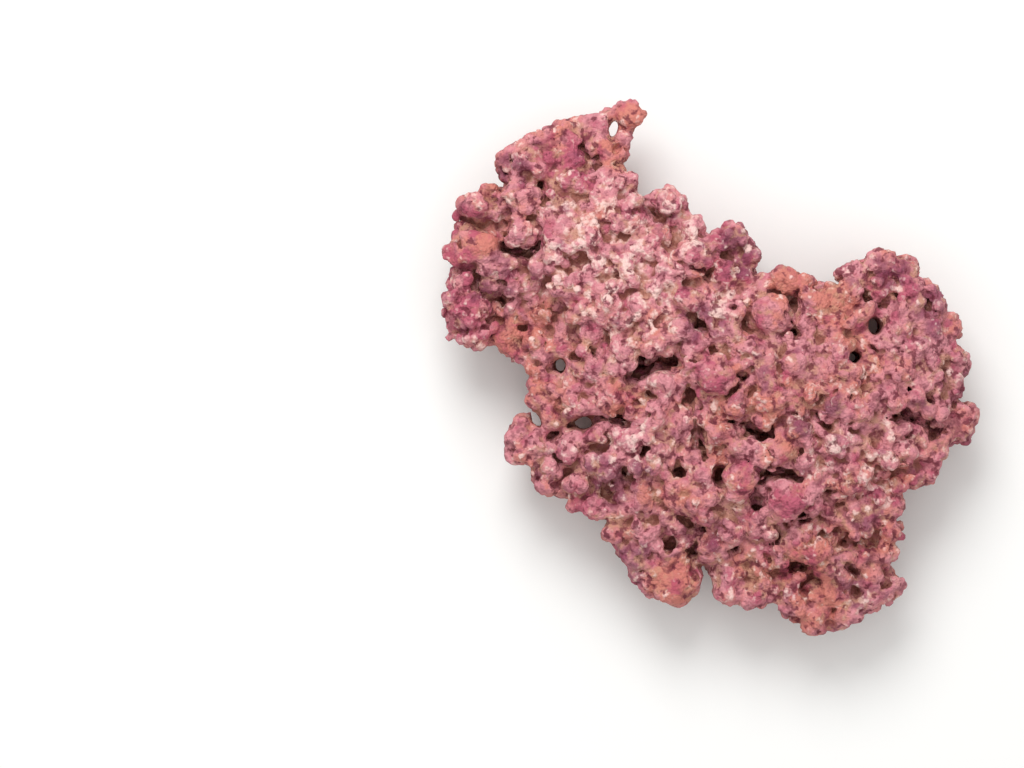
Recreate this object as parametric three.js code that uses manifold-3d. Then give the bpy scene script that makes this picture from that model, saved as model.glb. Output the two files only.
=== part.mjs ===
// Dry reef rock: one loose, knobbly slab of coral limestone grown over with pink coralline crust.
//
// The slab lies flat with its broad face up. It has a horn with an eyelet at the back left, a lobe of
// round knobs on the left, a pale plateau, a right lobe, and ledges that step down to the front.
// The whole rock is one implicit solid: knobs joined to a thick core, less its clefts, pits and eyelets.
// It is sampled on a grid, wrapped in a closed net of triangles, thinned, and cut flat under its feet.
//
// Units are millimetres, +Z is up, and the origin is under the middle of the rock on its resting plane.
import * as THREE from "three";
import { ImprovedNoise } from "three/addons/math/ImprovedNoise.js";
import { SimplifyModifier } from "three/addons/modifiers/SimplifyModifier.js";
import { mergeVertices } from "three/addons/utils/BufferGeometryUtils.js";
import Module from "manifold-3d";

// Driving dimensions
const CRUST = 0.9; // thickness of the crust grown over knobs and core alike
const KNOB_FLATNESS = 0.85; // a knob's height over its width
const KNOB_SCATTER = 3; // how much the knobs' heights vary of themselves
const KNOB_SCATTER_LENGTH = 6; // distance over which they vary
const CREVICE_FILL = 1.6; // radius of the fillet left where two knobs meet
const CORE_DEPTH = 4.5; // how far the core lies inside the general surfaces above and below it
const CORE_ROUNDING = 10; // radius of the core's own edges
const CORE_SWELL = 2.5; // amplitude of the core's own lumps
const CORE_SWELL_LENGTH = 9; // their wavelength
const ROUGHNESS = 1.1; // amplitude of the uneven growth that bends every knob
const ROUGHNESS_LENGTH = 11; // its wavelength
const CLEFT_EDGE = 1.2; // radius worn onto the lips of clefts, pits and eyelets
const CLEFT_FLOOR = 0.25; // half width of a cleft at its floor, over its stated width
const CLEFT_MOUTH = 0.75; // half width at its mouth, over its stated width
const UNDERCUT = 0.35; // how far a cleft leans towards the back for each millimetre of its depth
const PIT_FLOOR = 0.6; // a pit's radius at its floor, over its stated radius
const PIT_MOUTH = 1.2; // its radius at the mouth, over its stated radius
const GRID_STEP = 2.8; // spacing of the sampling grid
const TRIANGLES = 9500; // left after thinning, before the flat cut

// Everything is placed on a plan of the rock seen from above: x to the right and y towards the front,
// both in millimetres from the back left corner of the sheet that the rock was laid on.
const SHEET_CENTRE = { x: 355.5, y: 183.5 };

// General height of the broad face at places on the plan: x, y, height. Between them it is blended.
const SWELLS = [
  [315, 57, 41], // horn tip
  [285, 75, 47], // horn
  [240, 108, 50], // left lobe, back
  [234, 135, 51],
  [232, 158, 47], // left lobe, front
  [255, 168, 43],
  [285, 105, 58], // plateau
  [305, 130, 63],
  [330, 105, 55],
  [300, 160, 61],
  [335, 150, 65],
  [366, 122, 54],
  [355, 185, 68], // middle
  [388, 160, 67],
  [392, 143, 52],
  [420, 160, 57], // saddle
  [440, 140, 50], // right lobe
  [455, 170, 60],
  [480, 182, 42],
  [458, 200, 58],
  [484, 212, 38],
  [268, 190, 40], // thin left edge
  [290, 195, 53],
  [265, 220, 43], // front left lobe
  [300, 230, 55],
  [290, 247, 42],
  [330, 215, 60],
  [370, 205, 65],
  [420, 200, 66],
  [400, 225, 66], // ledges stepping down to the front
  [345, 245, 58],
  [375, 245, 61],
  [425, 235, 60],
  [460, 232, 46],
  [318, 268, 43],
  [360, 272, 50],
  [410, 262, 57],
  [440, 260, 46],
  [338, 291, 42],
  [375, 292, 41],
  [412, 285, 50],
  [410, 307, 39],
  [442, 293, 38],
];
const SWELL_REACH = 17; // distance over which a height is blended into the next

// Knobs of the broad face and its rim: x, y, radius, rise above the general height.
const HORN_KNOBS = [
  [315, 56.5, 7.6, 2],
  [314.6, 63, 4.2, -1],
  [311.5, 68.5, 3.6, -2],
  [309, 74, 3.6, -3],
  [307, 80, 4.2, -3],
  [306.5, 86, 5, -2],
  [303.5, 79, 7, 0],
  [307, 57.5, 3.6, -1],
  [301.5, 60.5, 4.8, 0],
  [295.5, 64, 5.8, 1],
  [288.5, 66.5, 6.6, 0],
  [280, 69, 7, 0],
  [271, 72, 6.6, 0],
  [266.8, 69.6, 3.2, -3],
  [263.5, 77.5, 6.6, 0],
  [299.5, 67.5, 4.6, -1],
  [299, 74.5, 5.2, 1],
  [290.5, 74, 7, 1],
  [287, 82, 7, -1],
  [276, 79, 7, 2],
  [267, 86, 6.6, 0],
  [258.5, 82, 4.8, -1],
  [253, 78.7, 4.2, -4],
  [256.5, 88, 5.4, -2],
  [276, 90, 7, 0],
  [287.5, 91, 7, 1],
  [298.5, 89.5, 6.6, 0],
  [307.5, 91, 6, 0],
  [314.8, 91.8, 4, -3],
  [313, 99, 5, -3],
];
const LEFT_LOBE_KNOBS = [
  [243, 104.5, 10, 2],
  [234, 106.5, 5.6, -2],
  [229.8, 108, 3.6, -5],
  [260, 102.5, 11, 2],
  [273, 100.5, 8, 1],
  [262.5, 115.5, 9, 0],
  [273, 118, 7, -1],
  [239, 122.5, 11.5, 1],
  [227.8, 124.5, 6, -4],
  [251, 123, 6, -1],
  [255, 134.5, 7, 0],
  [267.5, 136, 7, 0],
  [243.5, 134.5, 6, -1],
  [233.5, 136.5, 7.4, -1],
  [229.2, 151.5, 9.6, 0],
  [241, 151.5, 9, 2],
  [228.2, 162.2, 8.8, -1],
  [239, 161.8, 9.5, 1],
  [255, 144, 5, -1],
  [260, 152, 8.4, -1],
  [254, 168.5, 8.4, -1],
  [256.8, 173.3, 5, -4],
  [267, 169, 6.5, 0],
  [270, 155, 7.5, 0],
  [270.5, 177.5, 5.4, 0],
];
const PLATEAU_KNOBS = [
  [285, 103, 9, 0],
  [300, 102, 9, 0],
  [321, 103.5, 6.5, -2],
  [332.8, 103, 8.6, 2],
  [312, 112, 9.5, 0],
  [292, 118, 9.5, 1],
  [280, 128, 8.5, 0],
  [308, 127, 9.5, 0],
  [325, 122, 9.5, 0],
  [345, 114.5, 6.6, -2],
  [283, 143, 9, 0],
  [299, 141, 9.5, 0],
  [316, 140, 9.5, 1],
  [331, 137, 8.5, 0],
  [347.5, 130.5, 12, 3],
  [290, 157, 9, 0],
  [306, 156, 9.5, 0],
  [323, 156, 10, 1],
  [339, 150, 9, 0],
  [352, 151, 8.5, 0],
  [281, 172, 7, -1],
  [293, 174, 8, 0],
  [310, 172, 9.5, 0],
  [327, 170, 9.5, 1],
  [341, 166, 8, 1],
  [360, 122.5, 6.6, 0],
  [367.6, 120.3, 6.2, -1],
  [372.6, 129.4, 6.4, -3],
  [362.5, 138, 8, 1],
  [370, 141, 8, 0],
];
const MIDDLE_KNOBS = [
  [357.5, 187, 11, 3],
  [345, 182, 8, 0],
  [344, 196, 8, 0],
  [366, 155.5, 8, 1],
  [370, 172.5, 8.5, 1],
  [355, 168, 8, 0],
  [387.3, 159, 11, 3],
  [382.5, 180, 8.5, 0],
  [395.5, 184, 8.5, 0],
  [401, 170, 8.5, 0],
  [392.5, 142.3, 7, 0],
  [401, 144.4, 5, -2],
  [381, 146, 6.5, -2],
  [408, 152, 7.5, 0],
  [414, 144.8, 3.3, -4],
  [418, 152, 7, -1],
  [420, 166, 8.5, 0],
  [409, 178, 8, 0],
  [418, 180, 6, 1],
  [370, 201, 8.5, 0],
  [385, 198.5, 9, 2],
  [400, 198, 9, 1],
  [422.5, 193, 10.5, 2],
  [414, 203, 6.8, 2],
  [430, 203.5, 8, 0],
];
const RIGHT_LOBE_KNOBS = [
  [424.2, 137.8, 4.8, -3],
  [428, 146, 7.5, 0],
  [434, 136.6, 5.4, -1],
  [442.5, 134.5, 8, 1],
  [451.7, 135.4, 5.2, -3],
  [442.5, 147, 8, 1],
  [455, 148, 7.5, 1],
  [463, 147.6, 6.6, -1],
  [464.5, 154.5, 6, -1],
  [431, 157, 6.8, 0],
  [452, 161, 8, 1],
  [465, 165, 7.5, 0],
  [473, 163.2, 5.4, -3],
  [476, 164.8, 3.6, -6],
  [445, 173, 7.5, 0],
  [458, 174, 8, 0],
  [475, 178, 6.5, -1],
  [481.8, 181.6, 6.4, 0],
  [450, 186.5, 8, 1],
  [463, 186, 8, 0],
  [473, 191, 7.4, -1],
  [457.5, 198.5, 8, 0],
  [443, 199, 8, -1],
  [469.5, 203.5, 7.4, 2],
  [480, 211, 7.2, -1],
  [486.3, 207, 5.2, -3],
  [483.2, 217.8, 5, -3],
  [474.5, 217.5, 5, -2],
  [478, 198.5, 3.4, -7],
];
const FRONT_LEFT_KNOBS = [
  [268.2, 185, 4.6, -1],
  [267.6, 192.5, 4.2, -1],
  [268.6, 200, 4.8, 0],
  [275.5, 196, 6.6, 0],
  [275, 206.5, 7, 0],
  [277, 213, 6, 0],
  [288, 186, 7.5, 0],
  [288, 197, 7.5, 0],
  [291, 204, 7, 0],
  [306.5, 197, 10.5, 2],
  [302, 183, 8.5, 0],
  [317, 183, 7.5, -1],
  [325, 190.5, 6, -5],
  [334, 193, 8, -1],
  [330, 206.5, 9.5, 0],
  [345, 210, 8.5, 0],
  [262.8, 215.3, 6.6, -1],
  [263.8, 224.4, 9.4, 0],
  [272.2, 234.2, 8.4, 0],
  [278.2, 241.4, 6.8, -1],
  [276, 223, 7.5, 0],
  [287, 226, 8, 0],
  [289, 242.5, 7.5, 0],
  [290.2, 249.6, 5.8, -2],
  [299.3, 250.6, 7, -1],
  [298, 219, 7.5, -1],
  [304, 232.5, 10, 3],
  [313, 221, 8, 0],
  [323, 219, 8, 1],
  [313, 249.5, 9, 0],
  [322.8, 233, 6.6, 2],
  [323, 245, 7.5, 0],
];
const FRONT_KNOBS = [
  [318.7, 256, 6.8, 1],
  [312.5, 262.8, 6.6, 0],
  [306.4, 266.6, 4.8, -3],
  [307, 258.5, 5, -2],
  [315.2, 275.4, 6.6, -1],
  [320, 281.5, 5, -4],
  [325.5, 267.5, 7.4, 1],
  [327.4, 287, 8.6, -1],
  [338.6, 291, 11.2, 0],
  [346.7, 290, 5.4, -4],
  [336.5, 277, 7, -2],
  [333, 228, 8.5, 1],
  [338, 246, 8, 0],
  [351, 250, 10, 2],
  [352, 236, 8, 0],
  [350, 222, 7, 1],
  [357, 214, 8, 0],
  [333, 259, 6.5, -2],
  [356.5, 272.5, 7, 0],
  [366, 265, 8, 0],
  [367.8, 286.5, 9.5, 0],
  [363.8, 295.4, 6.6, -2],
  [376, 296.4, 7, -1],
  [385.5, 292.5, 7.8, 0],
  [381, 279, 8, 0],
  [370.5, 240, 10.5, 3],
  [385, 228, 10, 2],
  [373, 221, 9, 0],
  [363, 212, 7, 0],
  [400, 212, 8.5, 1],
  [401, 226, 8.5, 1],
  [415.5, 219, 9.5, 0],
  [431, 217, 9.5, 0],
  [443.5, 214, 7.5, 0],
  [394, 250.5, 11, 3],
  [380, 261, 8.5, 0],
  [408, 243, 8.5, 0],
  [424.5, 235.5, 9.5, 1],
  [440, 228.5, 8.5, 1],
  [436, 245.5, 7.5, 1],
  [445, 242.3, 4.8, -1],
  [439.3, 255, 7.2, 0],
  [444.4, 265.3, 5, -2],
  [450, 252.2, 3.6, -4],
  [427.5, 260, 9.5, 1],
  [440, 275, 6.4, -1],
  [407.5, 274, 10, 1],
  [395, 273, 8, 0],
  [415.5, 284, 9.5, 1],
  [428, 276, 7.5, 0],
  [415.5, 296, 10, 1],
  [399.6, 302.6, 8.6, 0],
  [395, 294, 6.5, -2],
  [408, 308.8, 10, 1],
  [418, 310.2, 6.4, -1],
  [424.2, 304.4, 5.8, 0],
  [431, 299.4, 6, 1],
  [441.5, 295.5, 7, 0],
  [445.3, 291.8, 5.6, -1],
  [435, 287, 6.5, 0],
  [450, 229, 7, 1],
  [458, 225.5, 8, 1],
  [466, 225.2, 5.6, -1],
  [463.6, 235, 6, 0],
  [456.2, 238.2, 5.4, -2],
];

// Outline of the core on the plan. The knobs of the rim stand out a little past it.
const CORE_OUTLINE = [
  [295, 65],
  [303, 74],
  [310, 86],
  [314, 98],
  [323, 104],
  [336, 100],
  [347, 113],
  [353, 120],
  [365, 119],
  [375, 131],
  [376, 142],
  [384, 145],
  [394, 140],
  [403, 146],
  [415, 146],
  [425, 142],
  [426, 137],
  [443, 130],
  [451, 134],
  [451, 142],
  [463, 144],
  [469, 156],
  [475, 172],
  [482, 179],
  [478, 186],
  [475, 194],
  [479, 202],
  [486, 206],
  [481, 217],
  [466, 217],
  [466, 231],
  [462, 238],
  [450, 241],
  [444, 243],
  [443, 272],
  [439, 280],
  [445, 292],
  [432, 301],
  [418, 311],
  [410, 313],
  [403, 308],
  [396, 300],
  [387, 296],
  [372, 298],
  [362, 296],
  [354, 284],
  [349, 285],
  [338, 297],
  [329, 293],
  [322, 279],
  [314, 269],
  [306, 256],
  [300, 252],
  [283, 245],
  [266, 230],
  [260, 225],
  [259, 218],
  [264, 216],
  [270, 204],
  [267, 190],
  [269, 179],
  [256, 173],
  [247, 168],
  [229, 167],
  [224, 159],
  [224, 146],
  [230, 136],
  [227, 122],
  [233, 110],
  [237, 102],
  [245, 99],
  [252, 101],
  [257, 95],
  [254, 80],
  [267, 72],
  [276, 67.5],
  [290, 64],
];

// Clefts between ledges: a path on the plan, width, depth below the general height.
const CLEFTS = [
  { path: [[290, 74.5], [294, 79], [299, 82]], width: 2.6, depth: 9 },
  { path: [[232, 110.5], [240, 116.5], [247, 115.5], [253, 113.5]], width: 3.8, depth: 13 },
  { path: [[254, 125.5], [261, 127.5], [268, 126.5]], width: 4.6, depth: 22 },
  { path: [[251.5, 147], [251.8, 159], [260, 161]], width: 2.8, depth: 13 },
  { path: [[323, 105], [330, 110], [337, 110.5]], width: 3.2, depth: 13 },
  { path: [[337, 128], [341, 136.5], [350, 140], [358, 136]], width: 2.8, depth: 11 },
  { path: [[345, 160], [351, 167.5]], width: 3, depth: 16 },
  { path: [[393.5, 149.5], [398, 157], [398.5, 166.5]], width: 3, depth: 13 },
  { path: [[363, 199], [369.5, 193.5], [374.5, 185.5]], width: 3.2, depth: 22 },
  { path: [[315, 191], [322, 185], [330, 182], [337, 187]], width: 6, depth: 30 },
  { path: [[276, 219], [282, 217], [290, 213], [300, 211.5], [315, 212]], width: 3.6, depth: 20 },
  { path: [[297, 245], [303, 245], [309, 240], [315, 233.5]], width: 3, depth: 13 },
  { path: [[342.5, 193], [346, 208], [349, 226], [352.5, 232.5]], width: 3.4, depth: 18 },
  { path: [[362.5, 213], [372, 216], [378, 219.5], [387, 219]], width: 4, depth: 17 },
  { path: [[374.5, 248], [380, 240.5], [385, 237], [393, 238.5], [401, 241.5]], width: 4, depth: 20 },
  { path: [[341.5, 258], [347, 263], [353, 266]], width: 3, depth: 15 },
  { path: [[393.5, 264], [400, 260], [406, 259], [413, 265]], width: 3.8, depth: 17 },
  { path: [[404, 207.5], [410, 212.5], [416, 216]], width: 2.6, depth: 10 },
  { path: [[444.5, 210], [453, 209], [461, 212.5], [470, 212]], width: 4, depth: 20 },
  { path: [[419, 270.5], [427, 273], [431, 275.5]], width: 3, depth: 12 },
  { path: [[397, 285], [406, 285.5]], width: 3, depth: 11 },
  { path: [[406, 247.5], [419, 247.5]], width: 2.4, depth: 8 },
  { path: [[350, 283.5], [356, 286]], width: 4, depth: 16 },
];

// Pits eaten into the broad face: x, y, radius, depth.
const PITS = [
  [269.5, 92.5, 2.2, 10],
  [309, 74, 3, 12],
  [262, 164.5, 2, 11],
  [274.5, 185, 2.6, 10],
  [318.5, 200.5, 3, 13],
  [383.5, 218.5, 4.6, 21],
  [360, 237.5, 4, 24],
  [339, 236.5, 3.2, 14],
  [379, 252, 3.6, 15],
  [335.5, 271.5, 3.6, 14],
  [345, 276, 2.8, 13],
  [427, 296, 3, 9],
  [446.5, 237, 1.8, 9],
  [323, 224.5, 2.2, 9],
  [367, 273.5, 2.8, 12],
  [384.5, 279, 2.4, 10],
];

// Eyelets that run right through: x, y, half width along and across, turn on the plan in degrees.
const EYELETS = [
  { at: [306.8, 64], half: [1.9, 3.8], turn: 12 },
  { at: [437.2, 163], half: [2.4, 3.1], turn: 0 },
  { at: [426.6, 178.6], half: [2, 2], turn: 0 },
  { at: [280.2, 182.6], half: [2.1, 3], turn: 0 },
  { at: [268.2, 209.6], half: [1.7, 4.2], turn: -28 },
  { at: [291.8, 211.6], half: [4.2, 2.6], turn: 0 },
];
const EYELET_FLARE = 0.02; // how much wider it gets for each millimetre away from the throat
const EYELET_THROAT = 32; // height of the throat above the resting plane

// General height of the hidden underside: x, y, height.
const UNDERSIDE_SWELLS = [
  [305, 65, 31],
  [268, 80, 26],
  [235, 110, 25],
  [235, 155, 25],
  [282, 139, 3],
  [300, 100, 15],
  [320, 140, 6],
  [350, 125, 12],
  [350, 170, 5],
  [268, 190, 22],
  [270, 225, 18],
  [304, 229, 3],
  [320, 255, 13],
  [335, 285, 20],
  [370, 210, 5],
  [370, 250, 7],
  [375, 290, 18],
  [400, 150, 16],
  [400, 190, 7],
  [410, 235, 6],
  [399, 271, 3],
  [412, 305, 18],
  [452, 157, 4],
  [450, 290, 23],
  [455, 190, 11],
  [482, 185, 26],
  [484, 215, 25],
  [460, 232, 22],
  [435, 215, 8],
  [440, 262, 15],
];

// Feet that the rock rests on: x, y, radius. Each is worn flat where it meets the ground.
const FEET = [
  [282, 140, 15],
  [295, 133, 12],
  [287, 151, 9],
  [453, 158, 13],
  [459, 168, 11],
  [450, 147, 8],
  [301, 231, 14],
  [312, 224, 11],
  [396, 268, 16],
  [409, 275, 12],
  [388, 279, 9],
];
const FOOT_WEAR = 2.4; // height that is worn off a foot
const FOOT_FLATNESS = 0.9;

// Smaller knobs grow down the hidden sides in rows, under every knob near the outline.
const SIDE_BAND = 12; // how near
const SIDE_ROW = 1.25; // drop from one row to the next, over the knob's radius
const SIDE_ROW_CHANGE = 0.4; // how unevenly the rows follow each other
const SIDE_SWAY = 0.6; // how far a side knob strays along the side, over the radius
const SIDE_INSET = 1.6; // how far each row stands back under the one above
const SIDE_RADIUS = 0.95; // a side knob's radius over that of the knob above
const SIDE_RADIUS_CHANGE = 0.3; // how much it varies
const SIDE_LENGTH = 7; // distance over which side knobs vary
const ROW_LAYER = 1.3; // step through the noise from one row to the next

// Knobs of the underside stand on an uneven lattice of rows.
const UNDERSIDE_BLOCK = { x: 220, y: 55, columns: 22, rows: 24 };
const UNDERSIDE_SPACING = 14;
const UNDERSIDE_ROW = 0.87; // distance between rows over the spacing in a row
const UNDERSIDE_STRAY = 7; // how far a knob strays from its place
const UNDERSIDE_RADIUS = 8.5;
const UNDERSIDE_RADIUS_CHANGE = 0.6;
const UNDERSIDE_FLATNESS = 0.8;
const UNDERSIDE_CHANGE = 4; // how much the lowest points vary
const UNDERSIDE_LENGTH = 9; // distance over which the knobs vary
const UNDERSIDE_MARGIN = 4; // least distance from a knob's middle to the core's outline

// Sampling
const SAMPLED = { low: [-146, -146, -8], high: [146, 146, 84] }; // block of space that holds the rock
const KNOB_REACH = 6; // how far past its radius a knob is still looked at
const CLEFT_REACH = 26; // how far from a cleft or pit it is still looked at
const FAR = 50; // a distance well outside the rock
const THIN_STEP = 20; // triangles given up at a time where the thinned rock touches itself
const THIN_ATTEMPTS = 12;
const GROUND = { side: 400, depth: 100 }; // block that is cut away under the resting plane
const PINCH_FILL = 0.05; // depth that a filled grid point is put inside the surface

const noise = new ImprovedNoise();
const LAYER = { scatter: 0.7, underX: 0.5, underY: 3.5 }; // levels at which unlike things read the noise

const clamp01 = (t) => Math.min(1, Math.max(0, t));

// Joins two distances with a fillet of about the given radius.
function blendUnion(a, b, radius) {
  const share = clamp01(0.5 + (0.5 * (b - a)) / radius);
  return b + (a - b) * share - radius * share * (1 - share);
}

const blendCut = (solid, tool, radius) => -blendUnion(-solid, tool, radius);

// A height blended from the swells near a place on the plan.
function blendedHeight(swells, x, y) {
  let sum = 0;
  let weights = 0;
  for (const [swellX, swellY, height] of swells) {
    const squared = (x - swellX) ** 2 + (y - swellY) ** 2;
    const weight = Math.exp(-squared / (2 * SWELL_REACH ** 2)) + 1 / (FAR + squared) ** 2;
    sum += weight * height;
    weights += weight;
  }
  return sum / weights;
}

// Distance on the plan from a point to a path of straight runs.
function distanceToPath(x, y, path) {
  let nearest = FAR;
  for (let i = 1; i < path.length; i++) {
    const [ax, ay] = path[i - 1];
    const [bx, by] = path[i];
    const [runX, runY] = [bx - ax, by - ay];
    const along = clamp01(((x - ax) * runX + (y - ay) * runY) / (runX ** 2 + runY ** 2));
    nearest = Math.min(nearest, Math.hypot(x - ax - along * runX, y - ay - along * runY));
  }
  return nearest;
}

// Distance on the plan to the core's outline, negative inside it.
function coreEdge(x, y) {
  const path = [...CORE_OUTLINE, CORE_OUTLINE[0]];
  let inside = false;
  for (let i = 1; i < path.length; i++) {
    const [ax, ay] = path[i - 1];
    const [bx, by] = path[i];
    if (ay > y !== by > y && x < ax + ((y - ay) / (by - ay)) * (bx - ax)) inside = !inside;
  }
  return distanceToPath(x, y, path) * (inside ? -1 : 1);
}

const scatter = (x, y) =>
  KNOB_SCATTER * noise.noise(x / KNOB_SCATTER_LENGTH, y / KNOB_SCATTER_LENGTH, LAYER.scatter);

// Knobs of the broad face, as flattened balls whose tops stand at the given rise.
const faceKnobs = [
  ...HORN_KNOBS,
  ...LEFT_LOBE_KNOBS,
  ...PLATEAU_KNOBS,
  ...MIDDLE_KNOBS,
  ...RIGHT_LOBE_KNOBS,
  ...FRONT_LEFT_KNOBS,
  ...FRONT_KNOBS,
].map(([x, y, radius, rise]) => ({
  x,
  y,
  z: blendedHeight(SWELLS, x, y) + rise + scatter(x, y) - radius * KNOB_FLATNESS,
  radius,
  flatness: KNOB_FLATNESS,
}));

// Rows of knobs that go down the side under a knob of the rim, each a little further in.
function sideKnobs(knob) {
  const rim = coreEdge(knob.x, knob.y);
  if (rim < -SIDE_BAND) return [];
  const outX = (coreEdge(knob.x + 1, knob.y) - coreEdge(knob.x - 1, knob.y)) / 2;
  const outY = (coreEdge(knob.x, knob.y + 1) - coreEdge(knob.x, knob.y - 1)) / 2;
  const lowest = blendedHeight(UNDERSIDE_SWELLS, knob.x, knob.y) + knob.radius / 2;
  const rows = [];
  let z = knob.z - SIDE_ROW * knob.radius;
  for (let row = 1; z > lowest; row++) {
    const chance = noise.noise(knob.x / SIDE_LENGTH, knob.y / SIDE_LENGTH, row * ROW_LAYER);
    const along = SIDE_SWAY * knob.radius * chance;
    const inward = SIDE_INSET * row;
    rows.push({
      x: knob.x - outX * inward - outY * along,
      y: knob.y - outY * inward + outX * along,
      z,
      radius: knob.radius * (SIDE_RADIUS - SIDE_RADIUS_CHANGE * chance),
      flatness: 1,
    });
    z -= SIDE_ROW * knob.radius * (1 + SIDE_ROW_CHANGE * chance);
  }
  return rows;
}

// Knobs all over the underside, where they fit inside the core's outline.
function undersideKnobs() {
  const placed = [];
  for (let row = 0; row < UNDERSIDE_BLOCK.rows; row++) {
    for (let column = 0; column < UNDERSIDE_BLOCK.columns; column++) {
      const latticeX = UNDERSIDE_BLOCK.x + (column + (row % 2) / 2) * UNDERSIDE_SPACING;
      const latticeY = UNDERSIDE_BLOCK.y + row * UNDERSIDE_SPACING * UNDERSIDE_ROW;
      const [u, v] = [latticeX / UNDERSIDE_LENGTH, latticeY / UNDERSIDE_LENGTH];
      const chanceX = noise.noise(u, v, LAYER.underX);
      const chanceY = noise.noise(v, u, LAYER.underY);
      const x = latticeX + UNDERSIDE_STRAY * chanceX;
      const y = latticeY + UNDERSIDE_STRAY * chanceY;
      const radius = UNDERSIDE_RADIUS * (1 + UNDERSIDE_RADIUS_CHANGE * chanceY);
      if (coreEdge(x, y) > -UNDERSIDE_MARGIN) continue;
      const lowest = blendedHeight(UNDERSIDE_SWELLS, x, y) + UNDERSIDE_CHANGE * chanceX;
      const z = lowest + radius * UNDERSIDE_FLATNESS;
      placed.push({ x, y, z, radius, flatness: UNDERSIDE_FLATNESS });
    }
  }
  return placed;
}

const feet = FEET.map(([x, y, radius]) => ({
  x,
  y,
  z: radius * FOOT_FLATNESS - FOOT_WEAR,
  radius,
  flatness: FOOT_FLATNESS,
}));

const knobs = [...faceKnobs, ...faceKnobs.flatMap(sideKnobs), ...undersideKnobs(), ...feet];

// Distance to the rock's surface, negative inside, up and down one column over a place on the plan.
function rockColumn(planX, planY) {
  const edge = coreEdge(planX, planY);
  const top = blendedHeight(SWELLS, planX, planY);
  const underside = blendedHeight(UNDERSIDE_SWELLS, planX, planY);
  const reaches = (thing) => Math.hypot(thing.x - planX, thing.y - planY) < thing.radius + KNOB_REACH;
  const near = knobs.filter(reaches);
  const clefts = CLEFTS.filter(({ path }) => distanceToPath(planX, planY, path) < CLEFT_REACH);
  const pits = PITS.filter(([x, y]) => Math.hypot(planX - x, planY - y) < CLEFT_REACH);
  const eyelets = EYELETS.map((eyelet) => eyeletBore(eyelet, planX, planY));

  return (height) => {
    const [u, v, w] = [planX, planY, height].map((n) => n / ROUGHNESS_LENGTH);
    const sway = ROUGHNESS * noise.noise(u, v, w);
    const surge = ROUGHNESS * noise.noise(v, w, u);
    const [x, y, z] = [planX + sway, planY + surge, height + sway - surge];
    const lump = CORE_SWELL * noise.noise(...[x, y, z].map((n) => n / CORE_SWELL_LENGTH));
    const slab = Math.abs(z - (top + underside) / 2) - ((top - underside) / 2 - CORE_DEPTH);
    let solid = -blendUnion(-edge, -slab, CORE_ROUNDING) - CRUST + lump;
    for (const knob of near) {
      const reach = Math.hypot(x - knob.x, y - knob.y, (z - knob.z) / knob.flatness) - knob.radius - CRUST;
      solid = blendUnion(solid, reach, CREVICE_FILL);
    }
    const drop = top - z;
    for (const { path, width, depth } of clefts) {
      const open = clamp01(1 - drop / depth);
      const halfWidth = width * (CLEFT_FLOOR + (CLEFT_MOUTH - CLEFT_FLOOR) * open);
      const slot = distanceToPath(x, y + UNDERCUT * Math.max(0, drop), path) - halfWidth;
      solid = blendCut(solid, Math.max(slot, drop - depth), CLEFT_EDGE);
    }
    for (const [pitX, pitY, radius, depth] of pits) {
      const open = clamp01(1 - drop / depth);
      const bore = Math.hypot(x - pitX, y - pitY) - radius * (PIT_FLOOR + (PIT_MOUTH - PIT_FLOOR) * open);
      solid = blendCut(solid, Math.max(bore, drop - depth), CLEFT_EDGE);
    }
    for (const bore of eyelets) solid = blendCut(solid, bore(height), CLEFT_EDGE);
    return solid;
  };
}

// Distance to an eyelet's bore, an oval throat that flares towards both faces of the rock.
function eyeletBore({ at: [x, y], half, turn }, planX, planY) {
  const angle = THREE.MathUtils.degToRad(turn);
  const [dx, dy] = [planX - x, planY - y];
  const along = (dx * Math.cos(angle) - dy * Math.sin(angle)) / half[0];
  const across = (dx * Math.sin(angle) + dy * Math.cos(angle)) / half[1];
  const size = Math.min(...half);
  return (height) => {
    const flare = 1 + EYELET_FLARE * Math.abs(height - EYELET_THROAT);
    return (Math.hypot(along, across) - flare) * size;
  };
}

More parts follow.
